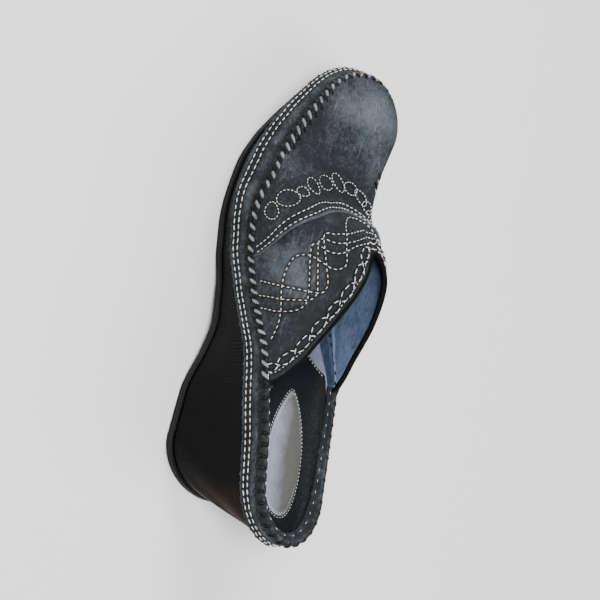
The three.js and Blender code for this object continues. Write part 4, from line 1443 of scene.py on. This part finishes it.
UNEVEN = 0.16                        # how much stitches differ in size


def sew(name, lines, pitch, stitch, width, height=0.6, hole=0.75, finish=white_thread, closed=False):
    """Rows of stitches; pitch, stitch, width, height and hole are in millimetres."""
    return grown(name, line_object(name + "_line", lines, closed), sewn_row, {
        "Half pitch": 0.5 * pitch * MM, "Stitch length": stitch * MM, "Thread width": width * MM,
        "Thread height": height * MM, "Hole width": hole * MM, "Unevenness": UNEVEN, "Seed": len(name),
        "Thread": finish, "Hole": painted_hole_shade,
    })


# %% Rows on the upper
SUNK = -0.05                         # a stitch's middle, from the leather's face
KNOT_SUNK = SUNK - 0.1
threads = [
    sew("knotwork_stitches", [on_saddle(line, KNOT_SUNK) for line in knotwork],
        pitch=2.9, stitch=1.85, width=0.54, hole=1.1),
    sew("link_stitches", [on_saddle(line, SUNK) for line in links],
        pitch=4.3, stitch=3.3, width=0.54, hole=0.7),
    sew("collar_row_stitches", [on_saddle(collar_row, SUNK)],
        pitch=2.2, stitch=1.3, width=0.45, hole=0.5, finish=grey_thread),
    sew("vamp_row_stitches", [on_vamp(line, SUNK) for line in edge_rows],
        pitch=2.9, stitch=2.1, width=0.54),
    sew("loop_stitches", [on_vamp(line, SUNK) for line in loops],
        pitch=2.0, stitch=1.35, width=0.48, hole=0.6, closed=True),
]

# %% Rows on the band
shares = np.linspace(0, 1, 1200, endpoint=False)
outwards = np.concatenate([-band_loop.read(band_loop.inward, shares), np.full((1200, 1), 0.25)], 1)
for index, up in enumerate(BAND_ROWS):
    stand = 0.12 + RAW_EDGE_FLARE * max(0, 1 - up / 0.2) ** 1.3
    line = band_point(shares, np.full(1200, up), -stand)
    threads.append(sew(f"band_stitches_{index + 1}", [(line, unit(outwards))],
                       pitch=3.5, stitch=2.7, width=0.6, closed=True))

# %% Row of painted glints along the rim
# Along the rim, grey marks at the lace's pitch stand for glints of the lace inside: painted highlight.
LACE_PITCH = 5.6                     # of the lace's bars, and of the stitches along the rim
rim_row_shares = rim_shares[8:-8]
rim_row_inset = 4.4 * rim_width(rim_row_shares)
rim_row = band_point(rim_row_shares, np.ones_like(rim_row_shares), rim_row_inset)[:, 0]
rim_row[:, 2] -= 0.45
rim_inwards = band_loop.read(band_loop.inward, rim_row_shares[:, 0])
rim_row_up = unit(np.column_stack([0.5 * rim_inwards, np.ones(len(rim_row))]))
threads.append(sew("rim_stitches", [(rim_row, rim_row_up)],
                   pitch=LACE_PITCH, stitch=1.7, width=0.34, hole=0.6, finish=grey_thread))

# %% Rows on the sock and the pad
front_share = np.linspace(0.05, 0.95, 120)
front_line = sock_point(sock_front(front_share) - 2.0 / LENGTH, front_share, SOCK - 0.1)
UP = (0.0, 0.0, 1.0)
threads.append(sew("sock_front_stitches", [(front_line, np.tile(UP, (120, 1)))],
                   pitch=2.0, stitch=1.4, width=0.42, finish=grey_thread))
pad_rows = []
angle = np.linspace(0, 2 * math.pi, 200, endpoint=False)
for grow, lift in ((-1.35, SOCK + 0.55), (0.9, SOCK)):
    x, y = pad_plan(1.0, angle, grow)
    pad_rows.append((np.stack([x, y, sock_height(x, y) + lift], -1), np.tile(UP, (200, 1))))
threads.append(sew("pad_stitches", pad_rows, pitch=1.9, stitch=1.35, width=0.4, height=0.45,
                   hole=0.4, finish=grey_thread, closed=True))

# %% [markdown]
# ## The lace
# A flat black lace whips the band to the upper. Each bar leaves a hole in the band, crosses the
# seam on a slant and goes down into a hole in the upper. One long curve could wind through all the
# holes, but most of it would lie hidden in the leather. So one bar with its two holes, near-black
# spots of black lace and painted shade, is made once and set along the seam, then along the rim at
# the heel. Between the bars the seam's edge swells up, rubbed pale and with a painted highlight on
# each swelling and painted shade between them: a bead whose section grows and shrinks at the lace's
# pitch.

# %% Tree for the lace
def lace_tree():
    tree, given, result = tree_for("Whipped lace", [
        ("Pitch", "Float"), ("Half span", "Float"), ("Height", "Float"), ("Thickness", "Float"),
        ("Widening", "Float"), ("Slant", "Float"), ("Hole size", "Float"),
        ("Lace", "Material"), ("Hole", "Material"),
    ])
    curve = add(tree, "GeometryNodeMeshToCurve", None, {"Mesh": given.outputs["Geometry"]})
    even = add(tree, "GeometryNodeResampleCurve", {"mode": "LENGTH"},
               {"Curve": curve.outputs[0], "Length": given.outputs["Pitch"]})
    span, height = given.outputs["Half span"], given.outputs["Height"]
    back = reckoned(tree, "MULTIPLY", span, -1.0)
    sunk = reckoned(tree, "MULTIPLY", height, -0.75)
    crest = reckoned(tree, "MULTIPLY", height, 1.9)
    bow = add(tree, "GeometryNodeCurveQuadraticBezier", None, {
        "Resolution": 10, "Start": scaled_vector(tree, 0.0, back, sunk),
        "Middle": scaled_vector(tree, 0.0, 0.0, crest), "End": scaled_vector(tree, 0.0, span, sunk)})
    section = add(tree, "GeometryNodeCurvePrimitiveCircle", None,
                  {"Resolution": 8, "Radius": given.outputs["Thickness"]})
    bar = add(tree, "GeometryNodeCurveToMesh", None,
              {"Curve": bow.outputs[0], "Profile Curve": section.outputs[0], "Fill Caps": True})
    wide = add(tree, "GeometryNodeTransform", None, {
        "Geometry": bar.outputs[0], "Scale": scaled_vector(tree, given.outputs["Widening"], 1.0, 1.0)})
    smooth = add(tree, "GeometryNodeSetShadeSmooth", None, {"Geometry": wide.outputs[0]})
    laced = add(tree, "GeometryNodeSetMaterial", None,
                {"Geometry": smooth.outputs[0], "Material": given.outputs["Lace"]})
    # Two near-black spots at the bar's ends, where the lace goes into its holes: black lace and painted
    # shade.
    ball = add(tree, "GeometryNodeMeshUVSphere", None, {"Segments": 10, "Rings": 6, "Radius": 0.5})
    hole_size = given.outputs["Hole size"]
    hole_scale = scaled_vector(tree, hole_size, hole_size, 0.7 * MM)
    join = add(tree, "GeometryNodeJoinGeometry")
    for way in (1.0, -1.0):
        place = reckoned(tree, "MULTIPLY", span, way * 0.98)
        low_place = reckoned(tree, "MULTIPLY", height, -0.62)
        hole = add(tree, "GeometryNodeTransform", None, {
            "Geometry": ball.outputs[0], "Scale": hole_scale,
            "Translation": scaled_vector(tree, 0.0, place, low_place)})
        dark = add(tree, "GeometryNodeSetMaterial", None,
                   {"Geometry": hole.outputs[0], "Material": given.outputs["Hole"]})
        tree.links.new(dark.outputs[0], join.inputs[0])
    tree.links.new(laced.outputs[0], join.inputs[0])
    turn = scaled_vector(tree, 0.0, 0.0, given.outputs["Slant"])
    slanted = add(tree, "GeometryNodeTransform", None, {"Geometry": join.outputs[0], "Rotation": turn})
    copies = add(tree, "GeometryNodeInstanceOnPoints", None, {
        "Points": even.outputs[0], "Instance": slanted.outputs[0],
        "Rotation": aligned(tree).outputs[0]})
    real = add(tree, "GeometryNodeRealizeInstances", None, {"Geometry": copies.outputs[0]})
    tree.links.new(real.outputs[0], result.inputs[0])
    return tree


whipped_lace = lace_tree()
print("tree for the lace", len(whipped_lace.nodes), "nodes")


def lace(name, line, pitch, span, height, thickness, widening, slant, hole):
    """Bars across a line: span is half a bar, widening flattens its round section."""
    return grown(name, line_object(name + "_line", [line]), whipped_lace, {
        "Pitch": pitch * MM, "Half span": span * MM, "Height": height * MM, "Thickness": thickness * MM,
        "Widening": widening, "Slant": slant, "Hole size": hole * MM,
        "Lace": lace_leather, "Hole": painted_hole_shade,
    })


# %% Bead along the seam
def seam_line(shares, depth, lift, lean):
    line = band_point(shares, np.ones(len(shares)), depth)
    line[:, 2] += lift
    outwards = -band_loop.read(band_loop.inward, shares)
    return line, unit(np.column_stack([outwards * lean, np.ones(len(shares))]))


BEAD_SLANT = 1.5                     # how far the swellings lean, as the bars do
seam_shares = np.linspace(HEEL_ENDS[0], HEEL_ENDS[1] + 1, 1500)
bead_path, bead_up = seam_line(seam_shares, depth=0.0, lift=0.1, lean=0.7)
bead_way = np.concatenate([[0], np.cumsum(np.linalg.norm(np.diff(bead_path, axis=0), axis=1))])
bead_beats = int(bead_way[-1] / LACE_PITCH)
bead_angles = np.linspace(0, 2 * math.pi, 17)
print("seam", round(bead_way[-1]), "mm with", bead_beats, "lace bars")
bead_phase = bead_way[:, None] + BEAD_SLANT * np.cos(bead_angles)[None, :]
bead_swell = 0.5 - 0.5 * np.cos(2 * math.pi * bead_beats * bead_phase / bead_way[-1])
bead_side = unit(np.cross(unit(np.gradient(bead_path, axis=0)), bead_up))
bead_wide = (1.15 + 0.75 * bead_swell) * np.cos(bead_angles)
bead_high = (0.85 + 0.35 * bead_swell) * np.sin(bead_angles) + 0.45 * bead_swell - 0.05
bead_points = bead_path[:, None] + bead_side[:, None] * bead_wide[..., None]
bead_points = bead_points + bead_up[:, None] * bead_high[..., None]
# Painted shade between the swellings, where the lace bars sit; each swelling is lightened, rubbed pale
# and with a painted highlight.
bead = make_mesh(
    "seam_bead", bead_points.reshape(-1, 3), grid_faces(*bead_points.shape[:2], False), rubbed_and_lit_bead_leather,
    {"groove_shade": 0.9 - 0.9 * bead_swell, "wear": bead_swell ** 1.5},
)

# %% Lace along the seam and the rim
rim_line_shares = np.linspace(HEEL_ENDS[1] + 0.004, HEEL_ENDS[0] - 0.004, 400)
laces = [
    lace("seam_lace", seam_line(seam_shares, depth=-0.1, lift=0.5, lean=0.9), LACE_PITCH,
         span=3.3, height=1.15, thickness=0.7, widening=2.2, slant=-0.75, hole=2.4),
    lace("rim_lace", seam_line(rim_line_shares, depth=-0.25, lift=0.0, lean=1.3), LACE_PITCH,
         span=1.7, height=0.6, thickness=0.7, widening=1.6, slant=-0.2, hole=1.9),
]

# %% [markdown]
# ## Everything rides on the shoe
# The shoe has no joint, so all of it rides on one body. Joining it into one mesh would lose its
# parts, so each piece stays, and for each solid one piece takes its place while the solid is hidden.

# %% Riding and replacing
stands_for = (
    (band, "upper", ("upper",)), (saddle, "upper", ()), (vamp, "upper", ()), (lining, "upper", ()),
    (binding, "upper", ()), (rim, "upper", ()), (footbed, "footbed", ("footbed",)),
    (heel_sock, "footbed", ()), (heel_pad, "heel_pad", ("heel_pad",)),
    (outsole, "outsole", ("outsole",)), (wedge, "wedge", ("wedge",)),
    (bead, "upper", ()),
    *((thing, "upper", ()) for thing in [*threads, *laces]),
)
for thing, slot, nodes in stands_for:
    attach(thing, "root")
    if nodes:
        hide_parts(*nodes)
print("pieces", len(stands_for))

# %% [markdown]
# ## Camera, floor and light
# The camera stands to the shoe as the photograph's did: behind it, on its lateral side and well
# above it, rolled so that the toe points up in the picture. It could be turned by angles, but a
# place, an aim and the direction of the picture's right side can be measured, so they are given.
# Floor and light stay plain: a pale sheet, and three soft boxes.

# %% Camera
CAMERA_PLACE = Vector((-192.8, 491.8, 655.7)) * MM
CAMERA_RIGHT = Vector((0.2327, -0.6729, 0.7022))
AIM = Vector((-4.0, -4.0, 33.0)) * MM
LENS = 97.0

sight = (AIM - CAMERA_PLACE).normalized()
right = (CAMERA_RIGHT - sight * CAMERA_RIGHT.dot(sight)).normalized()
upwards = right.cross(sight)
camera_data = bpy.data.cameras.new("camera")
camera_data.lens = LENS
camera_data.sensor_width = 36.0
camera_data.clip_start = 0.05
camera = bpy.data.objects.new("camera", camera_data)
camera.matrix_world = Matrix((
    (right.x, upwards.x, -sight.x, CAMERA_PLACE.x),
    (right.y, upwards.y, -sight.y, CAMERA_PLACE.y),
    (right.z, upwards.z, -sight.z, CAMERA_PLACE.z),
    (0, 0, 0, 1),
))
bpy.context.scene.collection.objects.link(camera)
bpy.context.scene.camera = camera
print("camera", round((AIM - CAMERA_PLACE).length / MM), "mm from the shoe")

# %% Floor
floor_finish = Finish("pale_floor", Roughness=0.9, Specular_IOR_Level=0.1)
floor_finish.colour((0.86, 0.86, 0.85, 1.0))
floor_mesh = bpy.data.meshes.new("floor")
FLOOR = 4.0                          # half its side, in metres
floor_corners = [(x * FLOOR, y * FLOOR, 0) for x, y in ((-1, -1), (1, -1), (1, 1), (-1, 1))]
floor_mesh.from_pydata(floor_corners, [], [(0, 1, 2, 3)])
floor_mesh.materials.append(floor_finish.material)
floor = bpy.data.objects.new("floor", floor_mesh)
bpy.context.scene.collection.objects.link(floor)
print("floor", 2 * FLOOR, "m wide")

# %% Light
SHOE_MIDDLE = Vector((0, 0, 0.03))
SKY = 0.17                           # strength of the light from all round
LIGHTS = (                           # name, place, size, watts: soft boxes aimed at the shoe
    ("key", (-0.25, 0.65, 1.25), 0.55, 27.0),
    ("toe", (1.0, 0.25, 0.9), 0.7, 17.0),
    ("side", (-0.5, -0.9, 0.9), 0.9, 14.0),
)
for name, place, size, power in LIGHTS:
    data = bpy.data.lights.new(name, "AREA")
    data.size = size
    data.energy = power
    lamp = bpy.data.objects.new(name, data)
    lamp.location = place
    lamp.rotation_mode = "QUATERNION"
    lamp.rotation_quaternion = (SHOE_MIDDLE - Vector(place)).to_track_quat("-Z", "Y")
    bpy.context.scene.collection.objects.link(lamp)
world = bpy.data.worlds.new("studio")
world.use_nodes = True
sky = world.node_tree.nodes["Background"]
sky.inputs["Color"].default_value = (0.95, 0.97, 1.0, 1)
sky.inputs["Strength"].default_value = SKY
bpy.context.scene.world = world
print("lights", [name for name, *_ in LIGHTS])
